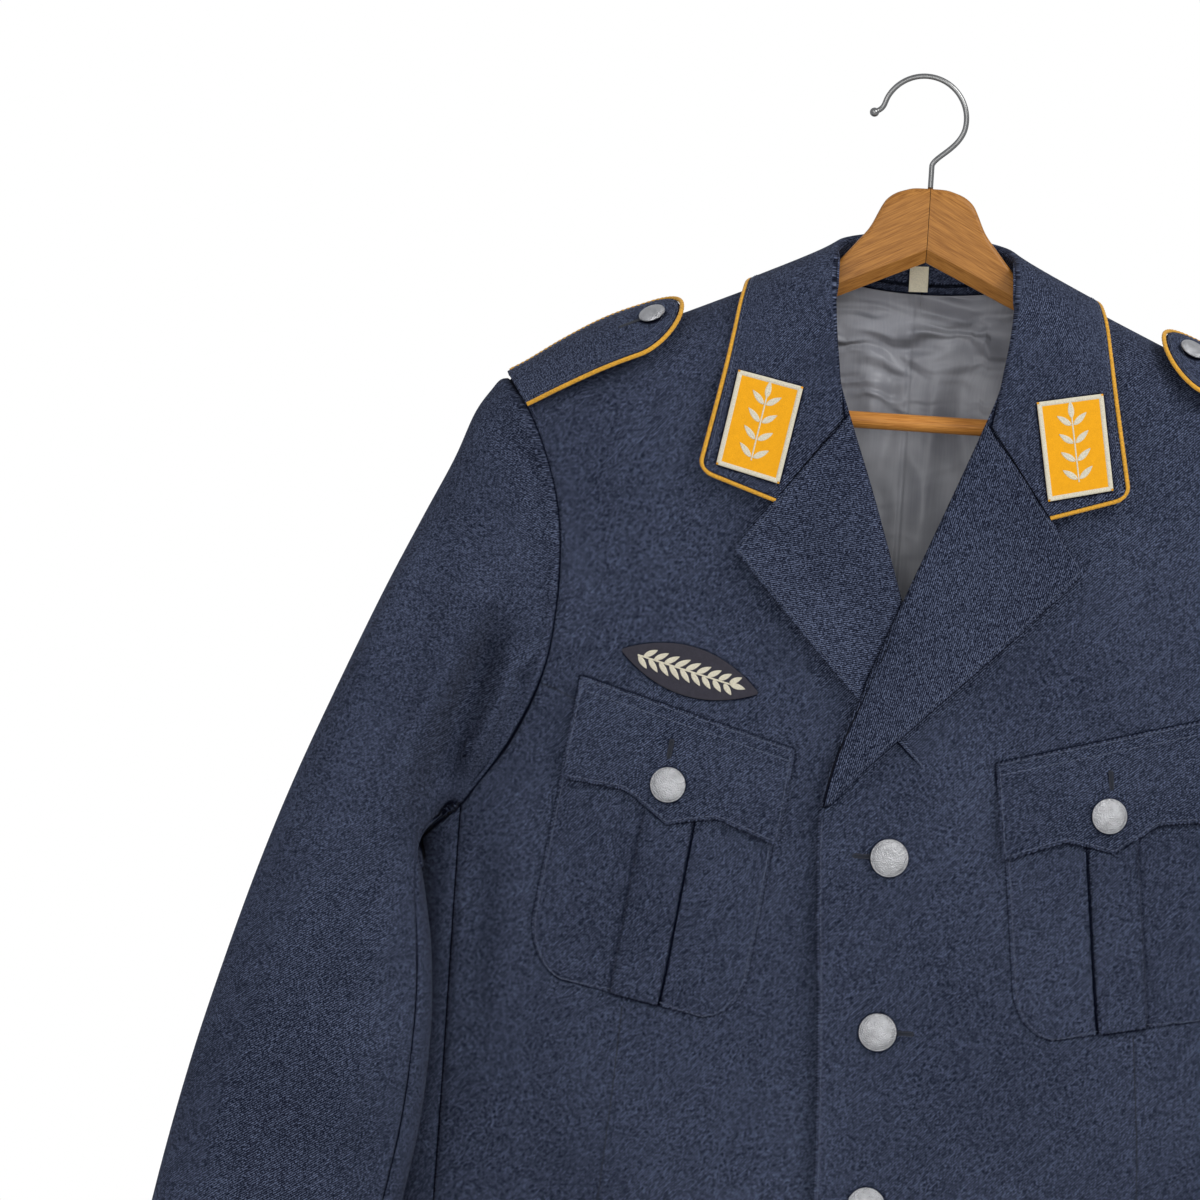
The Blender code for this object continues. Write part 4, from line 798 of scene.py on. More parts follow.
def clear_of_body(point, lift):
    x, y, z = point[..., 0], point[..., 1], point[..., 2]
    above = z >= shoulder_z(x) + lift
    front = y < RIDGE_Y
    front_y = np.minimum(y, body_point("front", x, z, lift)[..., 1])
    back_y = np.maximum(y, body_point("back", x, z, lift)[..., 1])
    return join(x, np.where(above, y, np.where(front, front_y, back_y)), z)


def collar_line(along, name):
    return join(*[COLLAR.at(along, f"{name}_{axis}") for axis in "xyz"])


def collar_point(along, part):
    along, part = np.broadcast_arrays(along, part)
    fold = collar_line(along, "fold")
    edge = collar_line(along, "edge")
    point = lerp(fold, edge, part[..., None])
    straight = lerp(fold, edge, COLLAR_CORNER)
    reach = np.where(part < COLLAR_CORNER, part / COLLAR_CORNER, (1 - part) / (1 - COLLAR_CORNER))
    dip = COLLAR.at(along, "dip") * reach
    point[..., 0] += (NOTCH_X - straight[..., 0]) * dip
    point[..., 2] += (NOTCH_Z - straight[..., 2]) * dip
    roll = COLLAR_ROLL * (1 - smooth(0.0, 0.4, part))
    return clear_of_body(point, COLLAR_LIFT + roll)


def collar_normal(along, part):
    reach = 0.01
    by_along = collar_point(along + reach, part) - collar_point(along - reach, part)
    by_part = collar_point(along, part + reach) - collar_point(along, part - reach)
    normal = unit(np.cross(by_part, by_along))
    toward = np.array((0.3, -1.0, 0.4))
    flip = np.where((normal @ toward < 0) & (np.asarray(along) > 4.2), -1.0, 1.0)
    return normal * flip[..., None]


def collar_parts():
    inner = COLLAR_CORNER * steps(COLLAR_INNER_COLUMNS)
    outer = lerp(COLLAR_CORNER, 1.0, steps(30))[1:]
    return np.concatenate((inner, outer))


def whole_collar(half):
    return np.concatenate((mirrored(half[:0:-1], -1), half))


def collar_surface():
    along, part = np.meshgrid(8.0 * steps(110), collar_parts(), indexing="ij")
    along, part = rounded_corner(along / 8.0, part, 7.84 / 8.0, 0.94)
    half = collar_point(8.0 * along, part)
    points = whole_collar(half)
    return points, cell_normals(points, (0.0, 1.0, 0.0))


def stand_surface():
    along = STAND_END * steps(60)
    x = NECK_POINT_X * (np.minimum(along, NECK_STATION) / NECK_STATION) ** 0.8
    back = body_point("back", x, back_top_z(x))
    down = (along - NECK_STATION) / (STAND_END - NECK_STATION)
    z = lerp(NECK_POINT_Z, STAND_END_Z, np.clip(down, 0.0, 1.0))
    front = body_point("front", FRONT_EDGE.at(z, "left_x"), z)
    seam = np.where((along <= NECK_STATION)[:, None], back, front)
    fold = collar_line(along, "fold")
    rise = unit(fold - seam) * LAPEL_GAP
    part = steps(12)[None, :, None]
    points = whole_collar(lerp((fold - rise)[:, None], (seam + rise)[:, None], part))
    return points, cell_normals(points, (0.0, 1.0, 0.0))


# Sleeves


def armhole_loop(side_name, folded):
    """Points, normals and ways out round the armhole: down the front, then up the back."""
    front, front_normals, front_marks = front_surface(side_name, folded)
    side, side_normals = side_surface(side_name, folded)
    back, back_normals, back_marks = back_surface(folded)
    front_end = front_marks[FRONT_ARMHOLE_ROW]
    back_end = back_marks[BACK_ARMHOLE_ROW]
    back_rows = np.arange(back_end, 0, -1)
    edges = (
        (front[: front_end + 1, -1], front[: front_end + 1, -2], front_normals[: front_end + 1, -1]),
        (side[0, 1:-1], side[1, 1:-1], side_normals[0, 1:-1]),
        (back[back_rows, -1], back[back_rows, -2], back_normals[back_rows, -1]),
    )
    points, inner, normals = (np.concatenate(columns) for columns in zip(*edges))
    count = front_end + 1 + side.shape[1] - 2
    back_seam = count + back_end - back_marks[BACK_SLEEVE_SEAM_ROW]
    return points, normals, unit(points - inner), front_end, back_seam


def sleeve_surface(side_name):
    """The whole sleeve from the armhole to the cuff, with its front and back seam columns."""
    edge, edge_normals, way_out, front_seam, back_seam = armhole_loop(side_name, False)
    seam = armhole_loop(side_name, True)[0]
    height = SHOULDER_TIP_Z - UNDERARM_Z
    share = np.clip((SHOULDER_TIP_Z - edge[:, 2]) / height, 0.0, 1.0)
    angle = np.arccos(1 - 2 * share)
    angle = np.where((edge[:, 1] < RIDGE_Y) | (share == 0.0), angle, 2 * math.pi - angle)
    along = np.linspace(1.0, 13.0, SLEEVE_ROWS)[:, None]
    round_share = (1 + np.cos(angle))[None, :] / 2
    side = np.sin(angle)[None, :]
    follow = SLEEVE.at(along, "follow")
    x = lerp(SLEEVE.at(along, "inner_x"), SLEEVE.at(along, "outer_x"), round_share)
    z = lerp(SLEEVE.at(along, "inner_z"), SLEEVE.at(along, "outer_z"), round_share)
    y = np.sign(side) * SLEEVE.at(along, "half_depth") * np.abs(side) ** 0.9
    y = SLEEVE.at(along, "middle_y") - y
    x = x + follow * (edge[None, :, 0] - lerp(UNDERARM_X, SHOULDER_TIP_X, round_share))
    y = lerp(y, edge[None, :, 1], follow)
    rings = join(x, y, z)
    first = seam + way_out * SEAM_GAP
    parts = np.array(SLEEVE_HEAD_PARTS)[:, None, None]
    puff = np.sin(parts * math.pi) * SLEEVE_HEAD_PUFF * edge_normals[None]
    head = lerp(first[None], rings[0][None], parts) + puff
    turned_in = seam - way_out * 0.0030 - edge_normals * (CLOTH + 0.0016)
    rings = doubled(np.concatenate((turned_in[None], head, rings)))
    edge_normals = doubled(edge_normals[None])[0]
    side = doubled(side[..., None])[..., 0]
    around = np.roll(rings, -1, axis=1) - np.roll(rings, 1, axis=1)
    normals = unit(np.cross(around, np.gradient(rings, axis=0)))
    middle = rings.mean(axis=1, keepdims=True)
    inward = np.sum(normals * (rings - middle), axis=-1, keepdims=True) < 0
    normals = np.where(inward, -normals, normals)
    even = rings.copy()
    start = 1.3 if side_name == "left" else 3.1
    front = smooth(0.1, 0.7, -normals[..., 1])
    back = smooth(0.1, 0.7, normals[..., 1])
    place_x, place_z = rings[..., 0], rings[..., 2]
    uneven = unevenness(place_x, place_z, start)
    relief = back * (fold_heights(place_x, place_z, SLEEVE_BACK_FOLDS) + uneven)
    relief -= front * (fold_heights(place_x, place_z, SLEEVE_FRONT_FOLDS) * SLEEVE_FRONT_STRENGTH + uneven)
    row = np.arange(len(rings))[:, None]
    trough = trough_depth(place_x, place_z) * np.clip(side * 2, 0.0, 1.0)
    rings[..., 1] += relief * smooth(*SLEEVE_RELIEF_ROWS, row) + trough * smooth(0, 5, row)
    around = np.roll(rings, -1, axis=1) - np.roll(rings, 1, axis=1)
    folded = unit(np.cross(around, np.gradient(rings, axis=0)))
    folded = np.where(np.sum(folded * normals, axis=-1, keepdims=True) < 0, -folded, folded)
    folded[:2] = edge_normals
    return rings, folded, even, 2 * front_seam, 2 * back_seam


def trough_depth(x, z):
    """How deep the largest folds of the sleeve's front are at each place."""
    depth = np.zeros(x.shape)
    for start_x, start_z, end_x, end_z, width, fold in SLEEVE_FOLDS:
        run = np.array((end_x - start_x, end_z - start_z))
        part = ((x - start_x) * run[0] + (z - start_z) * run[1]) / (run @ run)
        near = np.clip(part, 0.0, 1.0)
        gap = np.hypot(x - start_x - near * run[0], z - start_z - near * run[1]) / width
        fade = smooth(-0.1, 0.15, part) * (1 - smooth(0.75, 1.15, part))
        depth += fold * fade * np.exp(-gap * gap)
    return depth


def doubled(rings):
    """Closed rings with a point more between each two, along a smooth curve."""
    ahead, beyond, behind = (np.roll(rings, shift, axis=1) for shift in (-1, -2, 1))
    between = (9 * (rings + ahead) - beyond - behind) / 16
    return np.stack((rings, between), axis=2).reshape(len(rings), -1, rings.shape[-1])


# Pockets and boards


def corner_blend(corners, across, down):
    (ax, az), (bx, bz), (cx, cz), (dx, dz) = corners
    x = lerp(lerp(ax, bx, across), lerp(cx, dx, across), down)
    z = lerp(lerp(az, bz, across), lerp(cz, dz, across), down)
    return x, z


def pocket_surface(side_name):
    """The pocket below its flap, with how far its box pleat stands out."""
    left = steps(22) * (PLEAT_START - PLEAT_EDGE)
    rise = lerp(PLEAT_START - PLEAT_EDGE, PLEAT_START, steps(6))[1:]
    flat = lerp(PLEAT_START, PLEAT_END, steps(12))[1:-1]
    fall = lerp(PLEAT_END, PLEAT_END + PLEAT_EDGE, steps(6))
    right = lerp(PLEAT_END + PLEAT_EDGE, 1.0, steps(18))[1:]
    place = np.concatenate((left, rise, flat, fall, right))[None, :]
    down = lerp(POCKET_TOP, 1.0, steps(70))[:, None]
    round_part = np.maximum(0.0, (down - (1 - POCKET_CORNER_RADIUS)) / POCKET_CORNER_RADIUS)
    inset = POCKET_INSET + POCKET_CORNER_WIDTH * (1 - np.sqrt(1 - 0.985 * round_part**2))
    across = np.where(place < PLEAT_START, lerp(inset, PLEAT_START, place / PLEAT_START), place)
    outer_inset = inset - POCKET_INSET - 0.012 * down
    outer = lerp(PLEAT_END, 1 - outer_inset, (place - PLEAT_END) / (1 - PLEAT_END))
    across = np.where(place > PLEAT_END, outer, across)
    x, z = corner_blend(POCKET_CORNERS, across, down)
    start = smooth(PLEAT_START - PLEAT_EDGE * 0.5, PLEAT_START, place)
    end = smooth(PLEAT_END, PLEAT_END + PLEAT_EDGE, place)
    height = PLEAT_HEIGHT * smooth(0.30, 0.42, down)
    pleat = height * (start - end)
    for crease in (PLEAT_START - PLEAT_EDGE * 0.5, PLEAT_END + PLEAT_EDGE * 0.5):
        pleat = pleat - PLEAT_CREASE * np.exp(-(((place - crease) / PLEAT_CREASE_WIDTH) ** 2))
    points, normals = on_front(side_name, x, z)
    return points, normals, pleat


def flap_bottom(across):
    aside = np.abs(across - 0.5) * 2
    middle = lerp(FLAP_POINT, FLAP_ARCH, np.minimum(aside / FLAP_ARCH_PLACE, 1.0) ** 0.85)
    rest = np.maximum(aside - FLAP_ARCH_PLACE, 0.0) / (1 - FLAP_ARCH_PLACE)
    corner = smooth(1 - FLAP_CORNER, 1.0, aside) * FLAP_CORNER_RISE
    outer = lerp(FLAP_ARCH, FLAP_DEPTH, rest**1.2) - corner
    return np.where(aside < FLAP_ARCH_PLACE, middle, outer)


def flap_lift(down):
    over_pocket = LAYER_GAP * 2 + POCKET_CLOTH + 0.0012
    return lerp(LAYER_GAP, over_pocket, smooth(0.0, POCKET_TOP - 0.04, down))


def flap_surface(side_name):
    across = steps(97)[None, :]
    down = flap_bottom(across) * steps(40)[:, None]
    x, z = corner_blend(POCKET_CORNERS, across, down)
    return on_front(side_name, x, z, flap_lift(down))


def board_drop(across):
    return FRONT_SHOULDER_DROP * (1 - np.cos(across / FRONT_SHOULDER_DROP))


def board_place(along, across, height=0.0):
    ahead = np.maximum(across, 0.0)
    x = SHOULDER_TIP_X - along * math.cos(math.atan(SHOULDER_SLOPE))
    point = body_point("front", x, shoulder_z(x) - board_drop(ahead))
    normal = body_normal("front", point)
    lift = BOARD_BOW.at(along / BOARD_LENGTH, "lift")
    point = point + normal * np.asarray(lift + height)[..., None]
    point[..., 1] += ahead - across
    return point, normal


def board_start(across):
    x = settled(front_outer_x, shoulder_z, board_drop(across), SHOULDER_TIP_X)
    return (SHOULDER_TIP_X - x) / math.cos(math.atan(SHOULDER_SLOPE)) + 2 * SEAM_GAP


def board_surface():
    radius = BOARD_WIDTH / 2
    across = radius * (1 - np.cos(math.pi * steps(37)))[:, None]
    end = BOARD_LENGTH - radius + np.sqrt(np.maximum(radius**2 - (across - radius) ** 2, 0.0))
    along = lerp(board_start(across), end, steps(60)[None, :])
    return board_place(along, np.broadcast_to(across, along.shape))


def board_rim(inset, height):
    """A line round the board at a distance inside its edge, from the seam and back to it."""
    radius = BOARD_WIDTH / 2
    reach = radius - inset
    end = BOARD_LENGTH - radius
    start = board_start(radius + reach) + 0.001
    places = [(part, radius + reach) for part in lerp(start, end, steps(60)[:-1])]
    for angle in math.pi * steps(60):
        places.append((end + reach * math.sin(angle), radius + reach * math.cos(angle)))
    places += [(part, radius - reach) for part in lerp(end, board_start(0.0) + 0.001, steps(60)[1:])]
    along, across = np.array(places).T
    return board_place(along, across, height)


# Making meshes


def add_mesh(name, points, faces, surface, uvs=None):
    data = bpy.data.meshes.new(name)
    data.from_pydata(np.asarray(points).tolist(), [], faces)
    data.materials.append(surface)
    data.shade_smooth()
    if uvs is not None:
        corners = np.empty(len(data.loops), dtype=np.int32)
        data.loops.foreach_get("vertex_index", corners)
        layer = data.uv_layers.new(name="Cloth lengths")
        layer.data.foreach_set("uv", np.asarray(uvs)[corners].astype(np.float32).ravel())
    made = bpy.data.objects.new(name, data)
    bpy.context.scene.collection.objects.link(made)
    return made


def grid_faces(rows, columns, start=0, closed=False):
    index = np.arange(rows * columns).reshape(rows, columns) + start
    if closed:
        index = np.concatenate((index, index[:, :1]), axis=1)
    return np.stack((index[:-1, :-1], index[1:, :-1], index[1:, 1:], index[:-1, 1:]), axis=-1).reshape(-1, 4)


def border_places(rows, columns):
    top = [(0, column) for column in range(columns)]
    right = [(row, columns - 1) for row in range(1, rows)]
    bottom = [(rows - 1, column) for column in range(columns - 2, -1, -1)]
    left = [(row, 0) for row in range(rows - 2, 0, -1)]
    return np.array(top + right + bottom + left)


def way_inside(points, places):
    """For each place of the border, the way into the grid, at most half a cell long."""
    rows, columns = points.shape[:2]
    row, column = places.T
    here = points[row, column]
    inner_row = np.where(row == 0, 1, np.where(row == rows - 1, rows - 2, row))
    inner_column = np.where(column == 0, 1, np.where(column == columns - 1, columns - 2, column))
    ways = np.zeros(here.shape)
    room = np.full(len(here), 1e9)
    for there in (points[inner_row, column], points[row, inner_column]):
        gap = np.linalg.norm(there - here, axis=-1)
        moved = gap > 1e-9
        ways += np.where(moved[:, None], unit(there - here), 0.0)
        room = np.where(moved, np.minimum(room, gap), room)
    return ways, room * 0.45


def upright_uvs(points, side=1):
    """Cloth lengths that follow the across and up of the garment."""
    x, y, z = np.moveaxis(points, -1, 0)
    across = np.cumsum(np.hypot(np.diff(x, axis=1), np.diff(y, axis=1)), axis=1)
    down = np.cumsum(np.hypot(np.diff(z, axis=0), np.diff(y, axis=0)), axis=0)
    u = np.concatenate((x[:, :1], x[:, :1] + across), axis=1) * side
    return np.stack((u, np.concatenate((z[:1], z[:1] - down))), axis=-1)


def flat_uvs(points, turn=0.0):
    """Cloth lengths across and up, turned by the slope of the grain."""
    x, z = points[..., 0], points[..., 2]
    u = x * math.cos(turn) - z * math.sin(turn)
    return np.stack((u, x * math.sin(turn) + z * math.cos(turn)), axis=-1)


def wrapped_uvs(points, normals, grain, first=0, behind=None):
    """Cloth lengths round a bent surface, level with the grain at one column or at two."""
    grain = unit(np.array(grain, dtype=float))
    step = np.diff(points, axis=1)
    step = step - (step @ grain)[..., None] * grain
    middle = points.shape[1] // 2
    turning = np.cross(grain, normals[:, middle : middle + 1])
    sense = np.sign(np.sum(step[:, middle - 1 : middle + 1] * turning, axis=(-1, -2)))[:, None]
    step = np.linalg.norm(step, axis=-1) * sense
    reach = np.concatenate((np.zeros((len(points), 1)), np.cumsum(step, axis=1)), axis=1)
    level = unit(np.cross(grain, (0.0, -1.0, 0.0)))
    start = (points[:, first] @ level - reach[:, first])[:, None]
    if behind is not None:
        other = (-points[:, behind] @ level - reach[:, behind])[:, None]
        other += (start - other)[len(points) * 2 // 3]
        share = np.clip((np.arange(points.shape[1]) - first) / (behind - first), 0.0, 1.0)
        start = lerp(start, other, share)
    return np.stack((start + reach, points @ grain), axis=-1)


def free_uvs(points):
    """Cloth lengths along the rows and columns themselves."""
    return np.stack((distances(points, 1), -distances(points, 0)), axis=-1)


def seam_valley(points, sides, depth=0.0011, width=0.0014):
    """How far the cloth sinks towards its sewn edges."""
    sink = np.zeros(points.shape[:2])
    from_top, from_start = distances(points, 0), distances(points, 1)
    gaps = {
        "top": from_top,
        "bottom": from_top[-1:] - from_top,
        "first": from_start,
        "last": from_start[:, -1:] - from_start,
    }
    for side in sides.split():
        sink = np.maximum(sink, depth * np.exp(-((gaps[side] / width) ** 2)))
    return -sink


def faces_out(points, normals):
    """Whether a grid's middle cell, taken down and then across, faces the way of its normal."""
    row, column = points.shape[0] // 2, points.shape[1] // 2
    down = points[row + 1, column] - points[row, column]
    across = points[row, column + 1] - points[row, column]
    return np.cross(down, across) @ normals[row, column] >= 0


def add_shell(name, points, normals, low, high, surface, uvs, raised=None, tight=()):
    """A closed wall of cloth over a grid, with rounded edges, less so along its tight rows."""
    rows, columns = points.shape[:2]
    raised = np.zeros((rows, columns)) if raised is None else raised
    low = np.broadcast_to(low, (rows, columns))
    outer = points + normals * (high + raised)[..., None]
    inner = points + normals * (low + np.minimum(raised, 0.0))[..., None]
    places = border_places(rows, columns)
    row, column = places.T
    inside, room = way_inside(points, places)
    radius = np.minimum((high - low[row, column]) / 2, room)[:, None]
    for end in tight:
        radius[row == end % rows] *= 0.2
    up = normals[row, column]
    top = outer[row, column]
    bottom = inner[row, column]
    middle = (top + bottom) / 2
    tall = np.linalg.norm(top - bottom, axis=-1, keepdims=True) / 2
    outer[row, column] = top + inside * radius
    inner[row, column] = bottom + inside * radius
    shoulder = inside * radius * 0.29
    rims = (middle + up * tall * 0.71 + shoulder, middle, middle - up * tall * 0.71 + shoulder)
    count = rows * columns
    vertices = np.concatenate((outer.reshape(-1, 3), inner.reshape(-1, 3), *rims))
    cells = grid_faces(rows, columns)
    ring = row * columns + column
    rim_loops = [2 * count + index * len(ring) + np.arange(len(ring)) for index in range(len(rims))]
    loops = [ring, *rim_loops, ring + count]
    band = []
    for here, there in zip(loops, loops[1:]):
        band.append(np.stack((here, np.roll(here, -1), np.roll(there, -1), there), axis=-1))
    faces = np.concatenate((cells, cells[:, ::-1] + count, *band))
    if not faces_out(points, normals):
        faces = faces[:, ::-1]
    flat = uvs.reshape(-1, 2)
    edge = flat[ring]
    return add_mesh(name, vertices, faces.tolist(), surface, np.concatenate((flat, flat, edge, edge, edge)))


def cut_of(points):
    """The width, length and area of the flat piece that a surface is cut from."""
    across = np.linalg.norm(np.diff(points, axis=1), axis=-1).sum(axis=1)
    down = np.linalg.norm(np.diff(points, axis=0), axis=-1).sum(axis=0)
    one = np.cross(points[1:, :-1] - points[:-1, :-1], points[1:, 1:] - points[:-1, :-1])
    two = np.cross(points[1:, 1:] - points[:-1, :-1], points[:-1, 1:] - points[:-1, :-1])
    area = (np.linalg.norm(one, axis=-1).sum() + np.linalg.norm(two, axis=-1).sum()) / 2
    width, length = float(across.max()), float(down.max())
    return (round(width, 4), round(length, 4)), min(round(float(area), 5), width * length)


def finish_piece(made, nodes=(), cut=None):
    """Hangs a piece on the jacket, in place of its plain solids."""
    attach(made, "root")
    if nodes:
        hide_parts(*nodes)
    if cut is not None:
        flat, area = cut
        area = max(area, SMALLEST_CUT_SHARE * flat[0] * flat[1])
    return made


def add_tube(name, path, radius, surface, sides, twist=0.0, radii=None):
    """A round or twisted cord along a path."""
    path = np.asarray(path, dtype=float)
    tangent = unit(np.gradient(path, axis=0))
    side = np.zeros(path.shape)
    guide = np.array((0.0, 1.0, 0.0)) if abs(tangent[0, 1]) < 0.9 else np.array((1.0, 0.0, 0.0))
    for index in range(len(path)):
        guide = guide - tangent[index] * (guide @ tangent[index])
        guide = guide / np.linalg.norm(guide)
        side[index] = guide
    other = np.cross(tangent, side)
    reach = distances(path, 0)
    angle = 2 * math.pi * np.arange(sides)[None, :] / sides
    wide = np.full(len(path), radius) if radii is None else np.asarray(radii)
    size = wide[:, None] * np.ones((1, sides))
    if twist:
        turn = angle * CORD_STRANDS / 2 + reach[:, None] / twist * math.pi
        size = size * (0.80 + 0.22 * np.abs(np.cos(turn)))
    ring = side[:, None] * np.cos(angle)[..., None] + other[:, None] * np.sin(angle)[..., None]
    points = path[:, None] + ring * size[..., None]
    faces = grid_faces(len(path), sides, closed=True).tolist()
    faces.append(list(range(sides)))
    faces.append(list(range((len(path) - 1) * sides, len(path) * sides))[::-1])
    uvs = np.stack(np.broadcast_arrays(angle * radius, reach[:, None]), axis=-1).reshape(-1, 2)
    return add_mesh(name, points.reshape(-1, 3), faces, surface, uvs)


def even_path(path, pitch, values=None):
    """The path at even steps, or what the values of its points are there."""
    reach = distances(path, 0)
    places = np.arange(0.0, reach[-1], pitch)
    values = path if values is None else values
    return np.stack([np.interp(places, reach, values[:, axis]) for axis in range(3)], axis=-1)


def softened(path, reach=5):
    """The path with its corners rounded off."""
    wide = np.concatenate((np.repeat(path[:1], reach, axis=0), path, np.repeat(path[-1:], reach, axis=0)))
    return sum(wide[shift : shift + len(path)] for shift in range(2 * reach + 1)) / (2 * reach + 1)


class Gathered:
    """Many small shapes gathered into one mesh."""

    def __init__(self):
        self.points = []
        self.faces = []
        self.count = 0

    def grid(self, points, flipped=False):
        """A sheet over a grid of points."""
        rows, columns = points.shape[:2]
        faces = grid_faces(rows, columns, self.count)
        self.faces += (faces[:, ::-1] if flipped else faces).tolist()
        self.points.append(points.reshape(-1, 3))
        self.count += rows * columns

    def make(self, name, surface):
        return add_mesh(name, np.concatenate(self.points), self.faces, surface)


class Threads(Gathered):
    """Many short threads."""

    def add(self, start, end, normal):
        """One thread from start to end, sunk a little at both ends."""
        run = end - start
        length = np.linalg.norm(run)
        if length < 1e-6:
            return
        side = np.cross(normal, run / length)
        base = self.count
        rings = []
        for part, size, lift in ((0.0, 0.55, 0.0), (0.25, 1.0, 0.7), (0.75, 1.0, 0.7), (1.0, 0.55, 0.0)):
            middle = start + run * part + normal * THREAD_RADIUS * lift
            for angle in (0.0, 0.5 * math.pi, math.pi, 1.5 * math.pi):
                out = side * math.cos(angle) + normal * math.sin(angle)
                rings.append(middle + out * THREAD_RADIUS * size)
        self.points.append(np.array(rings))
        self.count += len(rings)
        for ring in range(3):
            for corner in range(4):
                a = base + ring * 4 + corner
                b = base + ring * 4 + (corner + 1) % 4
                self.faces.append((a, b, b + 4, a + 4))
        self.faces.append((base + 3, base + 2, base + 1, base))
        self.faces.append((base + 12, base + 13, base + 14, base + 15))

    def row(self, path, normals, pitch):
        """A row of stitches along a path."""
        places = even_path(path, pitch)
        ups = unit(even_path(path, pitch, normals))
        for place, after, up in zip(places, places[1:], ups):
            self.add(place, place + (after - place) * (STITCH_LENGTH / pitch), up)

    def satin(self, centre, run, across, normal, length, width):
        """The two worked edges and the bars of a buttonhole."""
        count = int(length / 0.00042)
        for index in range(count):
            place = centre + run * (index / (count - 1) - 0.5) * length
            for side in (-1, 1):
                inner = place + across * side * width * 0.50
                outer = place + across * side * width * 1.15
                self.add(inner, outer, normal)
        for end in (-0.5, 0.5):
            for step in (-0.6, -0.2, 0.2, 0.6):
                along = end * length + 0.0003 * math.copysign(1, end)
                place = centre + run * along + across * step * width
                self.add(place - run * 0.0007, place + run * 0.0007, normal)


def inset_line(points, normals, side, distance, height, start=0.0, end=0.0):
    """A line on a grid at a distance inside one border, shortened at both ends."""
    if side in ("top", "bottom"):
        points, normals = points.swapaxes(0, 1), normals.swapaxes(0, 1)
    if side in ("last", "bottom"):
        points, normals = points[:, ::-1], normals[:, ::-1]
    reach = distances(points, 1)
    line, ups = [], []
    for row in range(len(points)):
        if reach[row, -1] < distance:
            continue
        line.append([np.interp(distance, reach[row], points[row, :, axis]) for axis in range(3)])
        ups.append([np.interp(distance, reach[row], normals[row, :, axis]) for axis in range(3)])
    line, ups = np.array(line), unit(np.array(ups))
    run = distances(line, 0)
    kept = (run >= start) & (run <= run[-1] - end)
    return line[kept] + ups[kept] * height, ups[kept]


# Finishes


TWILL_ANGLE = math.radians(45)
TWILL_SHARES = {"ribs": 0.20, "threads": 0.22, "fibres": 0.48, "wear": 0.10}


def shade(colour, factor):
    return [value * factor for value in colour]


class Finish:
    """A material in the making: adds nodes and joins them."""

    def __init__(self, name, roughness, metallic=0.0, **shader_values):
        self.material = bpy.data.materials.new(name)
        self.material.use_nodes = True
        self.tree = self.material.node_tree
        self.shader = self.tree.nodes["Principled BSDF"]
        self.shader.inputs["Roughness"].default_value = roughness
        self.shader.inputs["Metallic"].default_value = metallic
        for key, value in shader_values.items():
            self.shader.inputs[key.replace("_", " ").title().replace("Ior", "IOR")].default_value = value

    def add(self, kind, inputs, output=0, **settings):
        node = self.tree.nodes.new("ShaderNode" + kind)
        for key, value in settings.items():
            setattr(node, key, value)
        for key, value in inputs.items():
            if isinstance(value, bpy.types.NodeSocket):
                self.tree.links.new(value, node.inputs[key])
            else:
                node.inputs[key].default_value = value
        return node.outputs[output]

    def place(self, kind="UV", scale=(1, 1, 1), turn=0.0):
        source = self.add("TexCoord", {}, kind)
        return self.add("Mapping", {"Vector": source, "Scale": scale, "Rotation": (0, 0, turn)})

    def noise(self, vector, scale, detail=2.0, roughness=0.5, distortion=0.0):
        values = {"Vector": vector, "Scale": scale, "Detail": detail}
        values.update({"Roughness": roughness, "Distortion": distortion})
        return self.add("TexNoise", values)

    def math(self, operation, first, second):
        return self.add("Math", {0: first, 1: second}, operation=operation)

    def weighted(self, *pairs):
        """The sum of the sources, each times its share."""
        total = None
        for source, share in pairs:
            part = self.math("MULTIPLY", source, share)
            total = part if total is None else self.math("ADD", total, part)
        return total

    def ramp(self, source, stops):
        node = self.tree.nodes.new("ShaderNodeValToRGB")
        self.tree.links.new(source, node.inputs[0])
        while len(node.color_ramp.elements) < len(stops):
            node.color_ramp.elements.new(0.5)
        for element, (position, colour) in zip(node.color_ramp.elements, stops):
            element.position = position
            element.color = (*colour, 1.0)
        return node.outputs[0]

    def colour(self, socket):
        self.tree.links.new(socket, self.shader.inputs["Base Color"])

    def rough(self, source, low, high):
        made = self.add("MapRange", {"Value": source, "To Min": low, "To Max": high})
        self.tree.links.new(made, self.shader.inputs["Roughness"])

    def bump(self, height, strength, distance):
        made = self.add("Bump", {"Height": height, "Strength": strength, "Distance": distance})
        self.tree.links.new(made, self.shader.inputs["Normal"])


